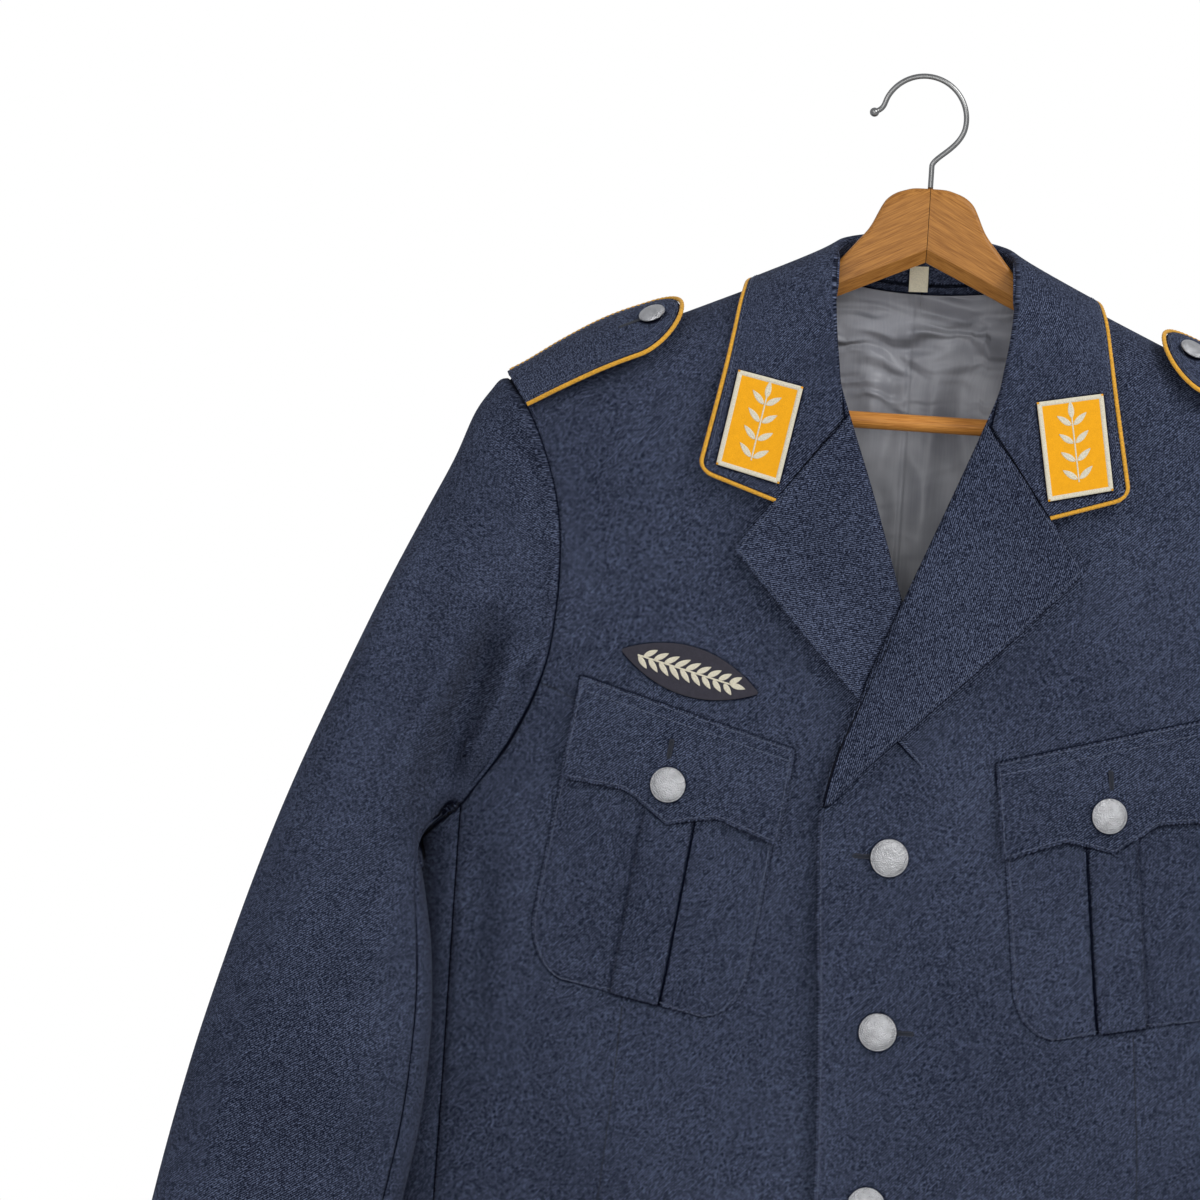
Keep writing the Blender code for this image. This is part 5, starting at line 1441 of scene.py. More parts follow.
def wool_twill(name, dark, light, pitch):
    """Blue-grey wool in a fine diagonal weave with paler fibres, and painted shade where pieces touch or
    overlap.
    """
    made = Finish(name, 0.95, sheen_weight=0.02, sheen_roughness=0.5, specular_ior_level=0.04)
    flat = made.place("UV")
    diagonal = made.place("UV", turn=TWILL_ANGLE)
    waves = {"Vector": diagonal, "Scale": 0.314 / pitch, "Distortion": 1.6}
    waves.update({"Detail": 2.0, "Detail Scale": 3.0})
    ribs = made.add("TexWave", waves, 1, bands_direction="X")
    stretched = made.add("Mapping", {"Vector": diagonal, "Scale": (1 / pitch * 2.4, 1 / pitch * 1.3, 1.0)})
    cells = made.add("VectorMath", {0: stretched}, operation="FLOOR")
    threads = made.add("TexWhiteNoise", {"Vector": cells})
    fibres = made.noise(flat, 1000.0, 2.0, 0.6)
    wear = made.noise(flat, 9.0, 3.0, 0.55)
    # Painted shade: ambient occlusion pushes the colour towards the dark wool where pieces meet, overlap or
    # fold.
    contact_occlusion = made.add("AmbientOcclusion", {"Distance": 0.0030}, 1, samples=8)
    painted_contact_shade = made.add("MapRange", {"Value": contact_occlusion, 1: 0.35, 2: 0.80})
    sources = {"ribs": ribs, "threads": threads, "fibres": fibres, "wear": wear}
    mixed = made.weighted(*((sources[key], share) for key, share in TWILL_SHARES.items()))
    mixed = made.math("MULTIPLY", mixed, painted_contact_shade)
    base = [lerp(a, b, 0.14) for a, b in zip(dark, light)]
    made.colour(made.ramp(mixed, ((0.31, dark), (0.5, base), (0.72, light))))
    made.rough(fibres, 0.85, 1.0)
    made.bump(made.math("ADD", ribs, made.math("MULTIPLY", fibres, 1.6)), 0.5, 0.00006)
    return made.material


def satin_lining(name, dark, light):
    made = Finish(name, 0.42, sheen_weight=0.2, specular_ior_level=0.45)
    flat = made.place("UV")
    streaks = made.noise(made.place("UV", (1.0, 0.05, 1.0)), 900.0, 2.0)
    clouds = made.noise(flat, 26.0, 3.0)
    mixed = made.weighted((streaks, 0.15), (clouds, 0.85))
    height = made.add("SeparateXYZ", {"Vector": flat}, 1)
    # Painted shade: the colour is darker near the neck, standing in for the shading of the creases there. The
    # same mask keeps the crease bumps near the neck.
    near_neck = made.add("MapRange", {"Value": height, 1: -0.21, 2: -0.15, 3: 0.10, 4: 1.0})
    mixed = made.math("SUBTRACT", mixed, made.math("MULTIPLY", near_neck, 0.14))
    made.colour(made.ramp(mixed, ((0.30, dark), (0.62, light))))
    made.rough(clouds, 0.34, 0.5)
    stretched = made.place("UV", (0.5, 1.4, 1.0), 0.35)
    values = {"Vector": stretched, "Scale": 52.0, "Detail": 2.0, "Distortion": 0.6}
    creases = made.add("TexNoise", values, noise_type="RIDGED_MULTIFRACTAL")
    made.bump(made.math("MULTIPLY", creases, near_neck), 1.0, 0.0100)
    return made.material


def thread_finish(name, dark, light, scale=2200.0):
    made = Finish(name, 0.7, sheen_weight=0.15, specular_ior_level=0.3)
    grain = made.noise(made.place("Object"), scale, 2.0)
    made.colour(made.ramp(grain, ((0.35, dark), (0.65, light))))
    made.bump(grain, 0.4, 0.0001)
    return made.material


def felt(name, dark, light):
    made = Finish(name, 0.95, sheen_weight=0.2, specular_ior_level=0.2)
    place = made.place("Object")
    fibres = made.noise(place, 1700.0, 3.0, 0.7)
    weave = made.noise(place, 300.0, 2.0)
    mixed = made.weighted((fibres, 0.7), (weave, 0.3))
    made.colour(made.ramp(mixed, ((0.32, dark), (0.66, light))))
    made.bump(fibres, 0.6, 0.0002)
    return made.material


def pebbled_metal(name, colour):
    made = Finish(name, 0.5, 1.0)
    place = made.place("Object")
    cells = {"Vector": place, "Scale": 1250.0, "Smoothness": 0.3}
    pebbles = made.add("TexVoronoi", cells, feature="SMOOTH_F1")
    fine = made.noise(place, 2600.0, 2.0)
    wear = made.noise(place, 220.0, 2.0)
    made.colour(made.ramp(wear, ((0.3, shade(colour, 0.72)), (0.7, colour))))
    made.rough(wear, 0.34, 0.46)
    made.bump(made.math("ADD", pebbles, made.math("MULTIPLY", fine, 0.5)), 1.0, 0.00045)
    return made.material


def bright_wire(name, colour):
    made = Finish(name, 0.22, 1.0)
    scratches = made.noise(made.place("Object", (1.0, 1.0, 0.2)), 120.0, 1.0)
    made.colour(made.ramp(scratches, ((0.3, shade(colour, 0.9)), (0.7, colour))))
    made.rough(scratches, 0.22, 0.32)
    made.bump(scratches, 0.01, 0.00001)
    return made.material


def golden_wood(name, dark, light, slope):
    """Varnished wood whose grain runs along the arm."""
    made = Finish(name, 0.42, specular_ior_level=0.22)
    source = made.add("TexCoord", {}, "Object")
    turned = made.add("Mapping", {"Vector": source, "Rotation": (0, slope, 0)})
    long, wide, fine = (
        made.add("Mapping", {"Vector": turned, "Scale": scale})
        for scale in ((0.035, 1.0, 1.0), (0.07, 0.5, 1.0), (0.03, 1.0, 1.0))
    )
    grain = made.noise(long, 2200.0, 2.0, 0.6, 0.3)
    rings = made.noise(wide, 260.0, 3.0, 0.6, 0.8)
    pores = made.noise(fine, 1700.0, 2.0)
    mixed = made.weighted((grain, 0.45), (rings, 0.25), (pores, 0.30))
    middle = [lerp(a, b, 0.6) for a, b in zip(dark, light)]
    made.colour(made.ramp(mixed, ((0.36, dark), (0.5, middle), (0.62, light))))
    made.rough(pores, 0.3, 0.48)
    made.bump(made.math("ADD", grain, pores), 0.18, 0.0002)
    return made.material


def shared(name, maker, *values, **settings):
    """The named finish, made once."""
    return bpy.data.materials.get(name) or maker(name, *values, **settings)


def wool():
    look = bpy.context.scene.jacket_cloth
    return shared("wool_cloth", wool_twill, look.dark_wool, look.light_wool, look.weave_pitch)


def stitch_thread():
    look = bpy.context.scene.jacket_cloth
    return shared("sewing_thread", thread_finish, look.thread[:], shade(look.thread, 1.5))


def buttonhole_thread():
    return shared("buttonhole_thread", thread_finish, (0.010, 0.013, 0.024), (0.028, 0.034, 0.055))


# A dark finish: the dark lines of the darts and the chest seam, and the painted shade inside the buttonhole
# slits.
def dark_thread():
    return shared("dark_thread", thread_finish, (0.006, 0.008, 0.014), (0.014, 0.018, 0.030))


def golden_cord():
    look = bpy.context.scene.jacket_trim
    return shared("golden_cord", thread_finish, shade(look.piping, 0.55), look.piping[:], scale=1600.0)


def cream_thread():
    look = bpy.context.scene.jacket_trim
    return shared("cream_thread", thread_finish, shade(look.embroidery, 0.7), look.embroidery[:])


def silver():
    return shared("pebbled_silver", pebbled_metal, bpy.context.scene.jacket_trim.metal[:])


# Sizes and colours that a user may change


def number_property(name, description, default, **settings):
    return bpy.props.FloatProperty(name=name, description=description, default=default, **settings)


def size_property(name, description, default):
    return number_property(name, description, default, min=0.0, unit="LENGTH", precision=4)


def power_property(name, description, default):
    return number_property(name, description, default, min=0.0, unit="POWER")


def colour_property(name, description, default):
    return bpy.props.FloatVectorProperty(
        name=name, description=description, default=default, size=3, min=0.0, max=1.0, subtype="COLOR"
    )


class JacketStageSettings(bpy.types.PropertyGroup):
    distance: size_property("Camera distance", "From the camera to the chest", 4.0)
    view_width: size_property("View width", "Width of the picture at the chest", 0.660)
    view_x: number_property("View centre across", "Middle of the picture", -0.168, unit="LENGTH")
    view_z: number_property("View centre height", "Middle of the picture", -0.300, unit="LENGTH")
    roll: number_property("Camera roll", "How far the camera leans", math.radians(3.8), subtype="ANGLE")
    key_power: power_property("Key light", "Power of the light from the right", 14.0)
    fill_power: power_property("Fill light", "Power of the light from the left", 3.0)
    front_power: power_property("Front light", "Power of the light near the camera", 12.0)
    floor_z: number_property("Floor height", "Height of the floor", -1.05, unit="LENGTH")


class JacketClothSettings(bpy.types.PropertyGroup):
    dark_wool: colour_property("Dark wool", "The shaded threads of the twill", (0.0015, 0.0026, 0.0095))
    light_wool: colour_property("Pale wool", "The palest fibres of the twill", (0.140, 0.168, 0.262))
    weave_pitch: size_property("Weave pitch", "From one twill line to the next", 0.0011)
    thread: colour_property("Sewing thread", "The thread of the edge stitching", (0.072, 0.088, 0.135))
    stitch_pitch: size_property("Stitch pitch", "From one stitch to the next", 0.0030)
    edge_distance: size_property("Edge stitching", "From the stitches to the edge", 0.0021)
    # Painted light and shade: cloud noise spreads these two tones over the lining as painted shade in folds
    # and painted sheen on ridges. Both are painted paler than the grey satin to make up for the light that
    # does not reach inside the jacket.
    dark_lining: colour_property("Dark lining", "The lining in its folds", (0.25, 0.255, 0.285))
    light_lining: colour_property("Pale lining", "The lining on its ridges", (0.41, 0.415, 0.445))


class JacketTrimSettings(bpy.types.PropertyGroup):
    piping: colour_property("Piping", "The golden cord", (0.86, 0.43, 0.035))
    patch: colour_property("Patch felt", "The golden felt of the collar patches", (0.92, 0.41, 0.008))
    embroidery: colour_property("Embroidery", "The cream thread", (0.78, 0.72, 0.56))
    badge_felt: colour_property("Badge felt", "The dark ground of the badge", (0.045, 0.042, 0.056))
    # Painted light: the label's cream is painted paler than its own, making up for the shade of the collar
    # and the hanger over it.
    label: colour_property("Neck label", "The woven label", (0.95, 0.88, 0.66))
    metal: colour_property("Buttons", "The silver of the buttons", (0.60, 0.60, 0.61))
    wire: colour_property("Hook wire", "The wire of the hook", (0.27, 0.27, 0.265))
    light_wood: colour_property("Pale wood", "The pale grain of the hanger", (0.49, 0.215, 0.048))
    dark_wood: colour_property("Dark wood", "The dark grain of the hanger", (0.20, 0.070, 0.010))


# Operators, one for each piece or group of like pieces

CHEST_Y = -0.040
LIGHT_TARGET = (-0.05, 0.0, -0.36)


class JACKET_OT_stage(bpy.types.Operator):
    """Make the camera, the soft lights, the pale floor and the white surroundings"""

    bl_idname = "jacket.stage"
    bl_label = "Stage"

    def execute(self, context):
        settings = context.scene.jacket_stage
        data = bpy.data.cameras.new("jacket_camera")
        camera = bpy.data.objects.new("jacket_camera", data)
        context.scene.collection.objects.link(camera)
        data.sensor_width = 36.0
        data.lens = 36.0 * settings.distance / settings.view_width
        data.clip_start = 0.05
        data.clip_end = 20.0
        camera.location = (settings.view_x, CHEST_Y - settings.distance, settings.view_z)
        turn = Matrix.Rotation(math.pi / 2, 4, "X") @ Matrix.Rotation(settings.roll, 4, "Z")
        camera.rotation_euler = turn.to_euler()
        context.scene.camera = camera
        lights = (
            ("key_light", (0.95, -1.05, 0.80), 0.8, settings.key_power),
            ("fill_light", (-1.05, -1.35, 0.60), 0.7, settings.fill_power),
            ("front_light", (-0.25, -2.70, -0.15), 1.3, settings.front_power),
        )
        for name, place, size, power in lights:
            lamp = bpy.data.lights.new(name, "AREA")
            lamp.shape = "DISK"
            lamp.size = size
            lamp.energy = power
            made = bpy.data.objects.new(name, lamp)
            made.location = place
            aim = Vector(LIGHT_TARGET) - made.location
            made.rotation_euler = aim.to_track_quat("-Z", "Y").to_euler()
            context.scene.collection.objects.link(made)
        self.surroundings(context)
        self.floor(settings.floor_z)
        context.scene.view_settings.view_transform = "Standard"
        context.scene.view_settings.look = "None"
        return {"FINISHED"}

    def surroundings(self, context):
        world = bpy.data.worlds.new("white_surroundings")
        context.scene.world = world
        world.use_nodes = True
        nodes = world.node_tree.nodes
        links = world.node_tree.links
        soft = nodes["Background"]
        soft.inputs["Color"].default_value = (0.93, 0.95, 1.0, 1.0)
        soft.inputs["Strength"].default_value = 0.54
        white = nodes.new("ShaderNodeBackground")
        white.inputs["Color"].default_value = (1.0, 1.0, 1.0, 1.0)
        path = nodes.new("ShaderNodeLightPath")
        mix = nodes.new("ShaderNodeMixShader")
        links.new(path.outputs["Is Camera Ray"], mix.inputs[0])
        links.new(soft.outputs[0], mix.inputs[1])
        links.new(white.outputs[0], mix.inputs[2])
        links.new(mix.outputs[0], nodes["World Output"].inputs["Surface"])

    def floor(self, height):
        made = Finish("pale_floor", 0.85)
        grain = made.noise(made.place("Object"), 14.0, 3.0)
        made.colour(made.ramp(grain, ((0.3, (0.80, 0.80, 0.79)), (0.7, (0.86, 0.86, 0.85)))))
        corners = [(-1.6, -1.6, height), (1.6, -1.6, height), (1.6, 1.1, height), (-1.6, 1.1, height)]
        floor = add_mesh("pale_floor", corners, [(0, 1, 2, 3)], made.material)


class JACKET_OT_body_panels(bpy.types.Operator):
    """Make the fronts, the side panels and the back"""

    bl_idname = "jacket.body_panels"
    bl_label = "Body panels"

    def execute(self, context):
        for side_name, side in SIDES.items():
            self.panel("front", side_name, side, front_surface(side_name)[:2], "top last")
            self.panel("back", side_name, side, back_surface()[:2], "top first last")
            self.panel("side", side_name, side, side_surface(side_name), "top first last")
        return {"FINISHED"}

    def panel(self, piece, side_name, side, surface, sewn):
        uvs = upright_uvs(surface[0], side)
        raised = seam_valley(surface[0], sewn)
        points, normals = mirrored_all(surface, side)
        made = add_shell(f"wool_{piece}_{side_name}", points, normals, -CLOTH, 0.0, wool(), uvs, raised)
        nodes, rests_on = [f"{piece}_{side_name}"], [f"wooden_arm_{side_name}"]
        finish_piece(made, nodes, cut_of(points))


class JACKET_OT_lapels(bpy.types.Operator):
    """Make the turned-back lapels"""

    bl_idname = "jacket.lapels"
    bl_label = "Lapels"

    def execute(self, context):
        for side_name, side in SIDES.items():
            points, normals = mirrored_all(lapel_surface(side_name), side)
            behind = LAPEL_GAP + CLOTH + 0.0004
            grid, ways, low = turned_over(points, normals, TURNED_EDGE_CLOTH, behind)
            uvs = flat_uvs(grid, -side * LAPEL_TURN)
            made = add_shell(f"wool_lapel_{side_name}", grid, ways, low, 0.0, wool(), uvs, tight=(0,))
            finish_piece(made, [f"lapel_{side_name}"], cut_of(points))
        return {"FINISHED"}


class JACKET_OT_collar(bpy.types.Operator):
    """Make the collar's fall and stand and the piping round its edge"""

    bl_idname = "jacket.collar"
    bl_label = "Collar"

    def execute(self, context):
        points, normals = collar_surface()
        station = np.abs(np.linspace(-8.0, 8.0, len(points)))
        behind = lerp(0.0024, COLLAR_LIFT + COLLAR_ROLL + CLOTH + 0.0004, smooth(3.5, 5.5, station))
        grid, ways, low = turned_over(points, normals, TURNED_EDGE_CLOTH, behind)
        middle = len(grid) // 2
        around, facing = grid.swapaxes(0, 1), ways.swapaxes(0, 1)
        half = wrapped_uvs(around[:, :middle], facing[:, :middle], (0, 0, 1))
        other_half = wrapped_uvs(around[:, middle:], facing[:, middle:], (0, 0, 1), -1)
        uvs = np.concatenate((half, other_half), axis=1).swapaxes(0, 1)
        made = add_shell("wool_collar_fall", grid, ways, low, 0.0, wool(), uvs, tight=(0, -1))
        finish_piece(made, ["collar_fall"], cut_of(points))
        rows, columns = points.shape[:2]
        corner = COLLAR_INNER_COLUMNS - 1
        rim = [(0, column) for column in range(corner, columns)]
        rim += [(row, columns - 1) for row in range(1, rows)]
        rim += [(rows - 1, column) for column in range(columns - 2, corner - 1, -1)]
        places = np.array(rim)
        inside, _ = way_inside(points, places)
        row, column = places.T
        path = points[row, column] + normals[row, column] * TURNED_EDGE_CLOTH / 2
        path = path - inside * (PIPING_RADIUS + PIPING_GAP)
        path = softened(even_path(path, CORD_STEP))
        cord = add_tube("collar_cord", path, CORD_RADIUS, golden_cord(), 10, CORD_TWIST)
        finish_piece(cord, ["collar_piping"])
        points, normals = stand_surface()
        low, high = -LAYER_GAP - CLOTH, -LAYER_GAP
        made = add_shell("wool_collar_stand", points, normals, low, high, wool(), free_uvs(points))
        finish_piece(made, ["collar_stand"], cut_of(points))
        return {"FINISHED"}


class JACKET_OT_sleeves(bpy.types.Operator):
    """Make the upper and under sleeves"""

    bl_idname = "jacket.sleeves"
    bl_label = "Sleeves"

    def execute(self, context):
        for side_name, side in SIDES.items():
            rings, normals, even, front_seam, back_seam = sleeve_surface(side_name)
            count = rings.shape[1]
            pieces = {
                "upper": np.arange(back_seam, count + front_seam + 1) % count,
                "under": np.arange(front_seam, back_seam + 1),
            }
            for piece, columns in pieces.items():
                points = rings[:, columns].copy()
                for edge, inner in ((0, 1), (-1, -2)):
                    points[:, edge] += unit(points[:, inner] - points[:, edge]) * SEAM_GAP / 2
                points = mirrored(points, side)
                ups = mirrored(normals[:, columns], side)
                raised = seam_valley(points, "top first last")
                name = f"wool_sleeve_{piece}_{side_name}"
                grain = (-0.21 * side, 0.05, 1.0)
                first, behind = 0, None
                if piece == "upper":
                    facing = ups[SLEEVE_GRAIN_ROW, :, 1]
                    first, behind = int(np.argmin(facing)), int(np.argmax(facing))
                uvs = wrapped_uvs(mirrored(even[:, columns], side), ups, grain, first, behind)
                made = add_shell(name, points, ups, -CLOTH, 0.0, wool(), uvs, raised)
                finish_piece(made, [f"sleeve_{piece}_{side_name}"], cut_of(points))
        return {"FINISHED"}


class JACKET_OT_pockets(bpy.types.Operator):
    """Make the chest pockets with their box pleats, and the pointed flaps"""

    bl_idname = "jacket.pockets"
    bl_label = "Pockets and flaps"

    def execute(self, context):
        for side_name, side in SIDES.items():
            points, normals, pleat = pocket_surface(side_name)
            points, normals = mirrored_all((points, normals), side)
            low, high = LAYER_GAP, LAYER_GAP + POCKET_CLOTH
            name = f"wool_pocket_{side_name}"
            pleat = pleat + seam_valley(points, "first last bottom", 0.0008, 0.005)
            made = add_shell(name, points, normals, low, high, wool(), flat_uvs(points), pleat)
            finish_piece(made, [f"chest_pocket_{side_name}"], cut_of(points))
            points, normals = mirrored_all(flap_surface(side_name), side)
            name = f"wool_flap_{side_name}"
            made = add_shell(name, points, normals, 0.0, POCKET_CLOTH, wool(), flat_uvs(points, 0.12))
            finish_piece(made, [f"chest_flap_{side_name}"], cut_of(points))
        return {"FINISHED"}


class JACKET_OT_shoulder_boards(bpy.types.Operator):
    """Make the shoulder boards and the piping round them"""

    bl_idname = "jacket.shoulder_boards"
    bl_label = "Shoulder boards"

    def execute(self, context):
        for side_name, side in SIDES.items():
            points, normals = mirrored_all(board_surface(), side)
            name = f"wool_board_{side_name}"
            made = add_shell(name, points, normals, 0.0, BOARD_THICKNESS, wool(), free_uvs(points))
            nodes, rests_on = [f"shoulder_board_{side_name}"], [f"wool_front_{side_name}"]
            finish_piece(made, nodes, cut_of(points))
            path = mirrored(board_rim(-PIPING_RADIUS - PIPING_GAP, BOARD_THICKNESS * 0.85)[0], side)
            path = even_path(path, CORD_STEP)
            cord = add_tube(f"board_cord_{side_name}", path, CORD_RADIUS, golden_cord(), 10, CORD_TWIST)
            finish_piece(cord, [f"board_piping_{side_name}"])
        return {"FINISHED"}


class JACKET_OT_badge_and_patches(bpy.types.Operator):
    """Make the breast badge and the collar patches with their leaves"""

    bl_idname = "jacket.badge_and_patches"
    bl_label = "Badge and collar patches"

    def execute(self, context):
        look = context.scene.jacket_trim
        self.badge(look)
        for side_name, side in SIDES.items():
            self.patch(look, side_name, side)
        return {"FINISHED"}

    def badge(self, look):
        along = lerp(-1.0, 1.0, steps(60))[None, :]
        up = steps(24)[:, None]
        half_height = BADGE_HEIGHT / 2 * (1 - 0.94 * along * along)
        rise = (1 - 2 * up) * half_height
        x, z = badge_place(along * BADGE_LENGTH / 2 + 0 * up, rise)
        points, normals = mirrored_all(on_front("right", x, z, LAYER_GAP), -1)
        ground = shared("dark_badge_felt", felt, shade(look.badge_felt, 0.6), look.badge_felt[:])
        made = add_shell("badge_felt", points, normals, 0.0, PATCH_CLOTH, ground, free_uvs(points))
        finish_piece(made, ["breast_badge"], cut_of(points))
        threads = LeafWork(on_badge)
        threads.stem(-0.0300, 0.0, 0.0240, 0.0, 0.00055)
        for index in range(9):
            place = -0.0262 + index * 0.0061
            size = 0.0098 - 0.00045 * abs(index - 3)
            for turn in (-1, 1):
                threads.leaf(place + (0.0028 if turn > 0 else 0.0), turn * 0.0031, turn * 40.0, size, 0.0033)
        threads.leaf(0.0275, 0.0, 0.0, 0.0088, 0.0034)
        made = threads.make("badge_leaves", cream_thread())
        finish_piece(made)

    def patch(self, look, side_name, side):
        points, normals = mirrored_all(on_patch(steps(22)[None, :], steps(30)[:, None], 0.0), side)
        ground = shared("golden_felt", felt, shade(look.patch, 0.82), look.patch[:])
        name = f"patch_felt_{side_name}"
        made = add_shell(name, points, normals, 0.0, PATCH_CLOTH, ground, free_uvs(points))
        finish_piece(made, [f"collar_patch_{side_name}"], cut_of(points))
        threads = LeafWork(lambda across, rise: on_patch_lengths(across, rise, side))
        threads.frame(0.0373, 0.0540, 0.0029)
        for index in range(4):
            rise = 0.0150 - index * 0.0098
            for turn in (-1, 1):
                threads.leaf(turn * 0.0045, rise, 90.0 - turn * 52.0, 0.0098, 0.0036)
        threads.leaf(0.0, 0.0205, 90.0, 0.0095, 0.0036)
        threads.stem(0.0, -0.0190, 0.0, 0.0180, 0.0005)
        made = threads.make(f"patch_leaves_{side_name}", cream_thread())
        finish_piece(made)


def badge_place(run, rise):
    """Across and up on the front for a place along and over the badge's middle line."""
    x = BADGE_X + run * math.cos(BADGE_TILT) - rise * math.sin(BADGE_TILT)
    z = BADGE_Z + run * math.sin(BADGE_TILT) + rise * math.cos(BADGE_TILT)
    return x, z


def on_badge(across, rise):
    """The point and way out over a place on the badge, with across to the viewer's right."""
    return mirrored_all(on_front("right", *badge_place(-across, rise), LAYER_GAP + PATCH_CLOTH), -1)


def on_patch(across, down, height):
    """The point and way out over a place on the left collar patch."""
    x, z = corner_blend(COLLAR_PATCH_CORNERS, across, down)
    along = np.full(x.shape, 6.6)
    part = np.full(x.shape, 0.6)
    reach = 0.01
    for _ in range(30):
        here = collar_point(along, part)
        by_along = (collar_point(along + reach, part) - here) / reach
        by_part = (collar_point(along, part + reach) - here) / reach
        area = by_along[..., 0] * by_part[..., 2] - by_along[..., 2] * by_part[..., 0]
        off_x = x - here[..., 0]
        off_z = z - here[..., 2]
        along = along + 0.5 * (off_x * by_part[..., 2] - off_z * by_part[..., 0]) / area
        part = part + 0.5 * (off_z * by_along[..., 0] - off_x * by_along[..., 2]) / area
        along = np.clip(along, 4.5, 7.99)
        part = np.clip(part, 0.05, 0.985)
    normal = collar_normal(along, part)
    lift = TURNED_EDGE_CLOTH + LAYER_GAP + height
    return collar_point(along, part) + normal * lift, normal


def on_patch_lengths(across, rise, side):
    """The point and way out for lengths across and up from the middle of a patch."""
    share = np.clip(0.5 + side * across / PATCH_WIDTH, 0.0, 1.0)
    return mirrored_all(on_patch(share, np.clip(0.5 - rise / PATCH_HEIGHT, 0.0, 1.0), PATCH_CLOTH), side)


class LeafWork(Gathered):
    """Raised satin leaves and stems on a curved ground."""

    def __init__(self, ground):
        super().__init__()
        self.ground = ground

    def dome(self, x, z, height):
        points, normals = self.ground(x, z)
        points = points + normals * height[..., None]
        self.grid(points, not faces_out(points, normals))

    def leaf(self, across, rise, tilt, length, width):
        """A pointed leaf with ribbed threads either side of its spine."""
        angle = math.radians(tilt)
        along = steps(19)[:, None]
        aside = lerp(-1.0, 1.0, steps(9))[None, :]
        half = width / 2 * np.sin(math.pi * along**0.8) ** 0.8
        run = (along - 0.5) * length
        off = aside * half + 0 * run
        x = across + run * math.cos(angle) - off * math.sin(angle)
        z = rise + run * math.sin(angle) + off * math.cos(angle)
        ribs = 0.00010 * np.cos(math.pi * 18 * (along - 0.16 * np.abs(aside)))
        height = 0.00055 * np.sqrt(np.maximum(1 - aside**2, 0.0)) + ribs - 0.00012
        height = height - 0.0003 * np.exp(-((aside / 0.22) ** 2))
        self.dome(x, z, height + 0 * along)

    def stem(self, x0, z0, x1, z1, half):
        along = steps(40)[:, None]
        aside = lerp(-1.0, 1.0, steps(5))[None, :]
        run = np.array((x1 - x0, z1 - z0))
        way = run / np.linalg.norm(run)
        x = x0 + run[0] * along - way[1] * half * aside
        z = z0 + run[1] * along + way[0] * half * aside
        height = 0.0004 * (1 - aside**2) + 0.00008 * np.cos(40 * math.pi * along) - 0.0001
        self.dome(x, z, height)

    def frame(self, width, height, band):
        """A satin border round a patch."""
        x, z = width / 2 - band / 2, height / 2 - band / 2
        for x0, z0, x1, z1 in ((-x, z, x, z), (-x, -z, x, -z), (-x, -z, -x, z), (x, -z, x, z)):
            run = np.array((x1 - x0, z1 - z0))
            reach = np.linalg.norm(run)
            way = run / reach
            along = steps(int(reach / 0.00028))[:, None]
            aside = lerp(-1.0, 1.0, steps(7))[None, :]
            place_x = x0 + run[0] * along - way[1] * band / 2 * aside
            place_z = z0 + run[1] * along + way[0] * band / 2 * aside
            ribs = 0.00010 * np.cos(reach / 0.00084 * 2 * math.pi * along)
            rise = 0.0006 * np.sqrt(np.maximum(1 - aside**2, 0.0)) + ribs - 0.0001
            self.dome(place_x, place_z, rise)


# A button's outline from the middle of its top: out and up, as shares of its radius
BUTTON_PROFILE = number_rows("""
0.0 0.450
0.14 0.448
0.28 0.442
0.42 0.430
0.55 0.411
0.67 0.385
0.77 0.352
0.855 0.312
0.915 0.274
0.935 0.256
0.950 0.268
0.975 0.262
0.995 0.225
1.0 0.190
0.99 0.155
0.95 0.120
0.90 0.105
0.40 0.095
0.34 0.080
0.34 0.0
""")


class JACKET_OT_buttons(bpy.types.Operator):
    """Make the pebbled silver buttons"""

    bl_idname = "jacket.buttons"
    bl_label = "Buttons"

    def execute(self, context):
        for name, place, normal, diameter in button_places():
            self.button(name, place, normal, diameter)
        return {"FINISHED"}

    def button(self, name, place, normal, diameter):
        radius = diameter / 2
        profile = np.array(BUTTON_PROFILE)
        sides = 56
        angle = 2 * math.pi * np.arange(sides) / sides
        ring = np.stack((np.cos(angle), np.sin(angle)), axis=-1)
        flat = profile[:, 0][:, None, None] * ring[None] * radius
        up = np.broadcast_to(profile[:, 1][:, None, None] * radius, (len(profile), sides, 1))
        points = np.concatenate((flat, up), axis=-1)
        turn = np.array(Vector(normal).to_track_quat("Z", "Y").to_matrix())
        points = points.reshape(-1, 3) @ turn.T + place + normal * LAYER_GAP
        faces = grid_faces(len(profile), sides, closed=True)[:, ::-1].tolist()
        made = add_mesh(f"silver_{name}", points, faces, silver())
        made.data.set_sharp_from_angle(angle=math.radians(55))
        finish_piece(made, [name])


def button_places():
    """Each button's name, place, way out and diameter."""
    places = []
    for index in range(FRONT_BUTTON_COUNT):
        z = np.array(FRONT_BUTTON_TOP_Z - index * FRONT_BUTTON_PITCH)
        point, normal = on_front("left", np.array(0.0), z)
        places.append((f"button_front_{index + 1}", point, normal, FRONT_BUTTON_DIAMETER))
    for side_name, side in SIDES.items():
        here = on_flap(side_name, FLAP_BUTTON_ACROSS[side_name], FLAP_BUTTON_DOWN)
        places.append((f"button_chest_{side_name}", *mirrored_all(here, side), FLAP_BUTTON_DIAMETER))
        along, across = np.array(BOARD_BUTTON_ALONG), np.array(BOARD_BUTTON_ACROSS)
        here = mirrored_all(board_place(along, across, BOARD_THICKNESS), side)
        places.append((f"button_shoulder_{side_name}", *here, BOARD_BUTTON_DIAMETER))
    return places


def on_flap(side_name, across, down):
    x, z = corner_blend(POCKET_CORNERS, np.asarray(across), np.asarray(down))
    return on_front(side_name, x, z, flap_lift(np.asarray(down)) + POCKET_CLOTH)


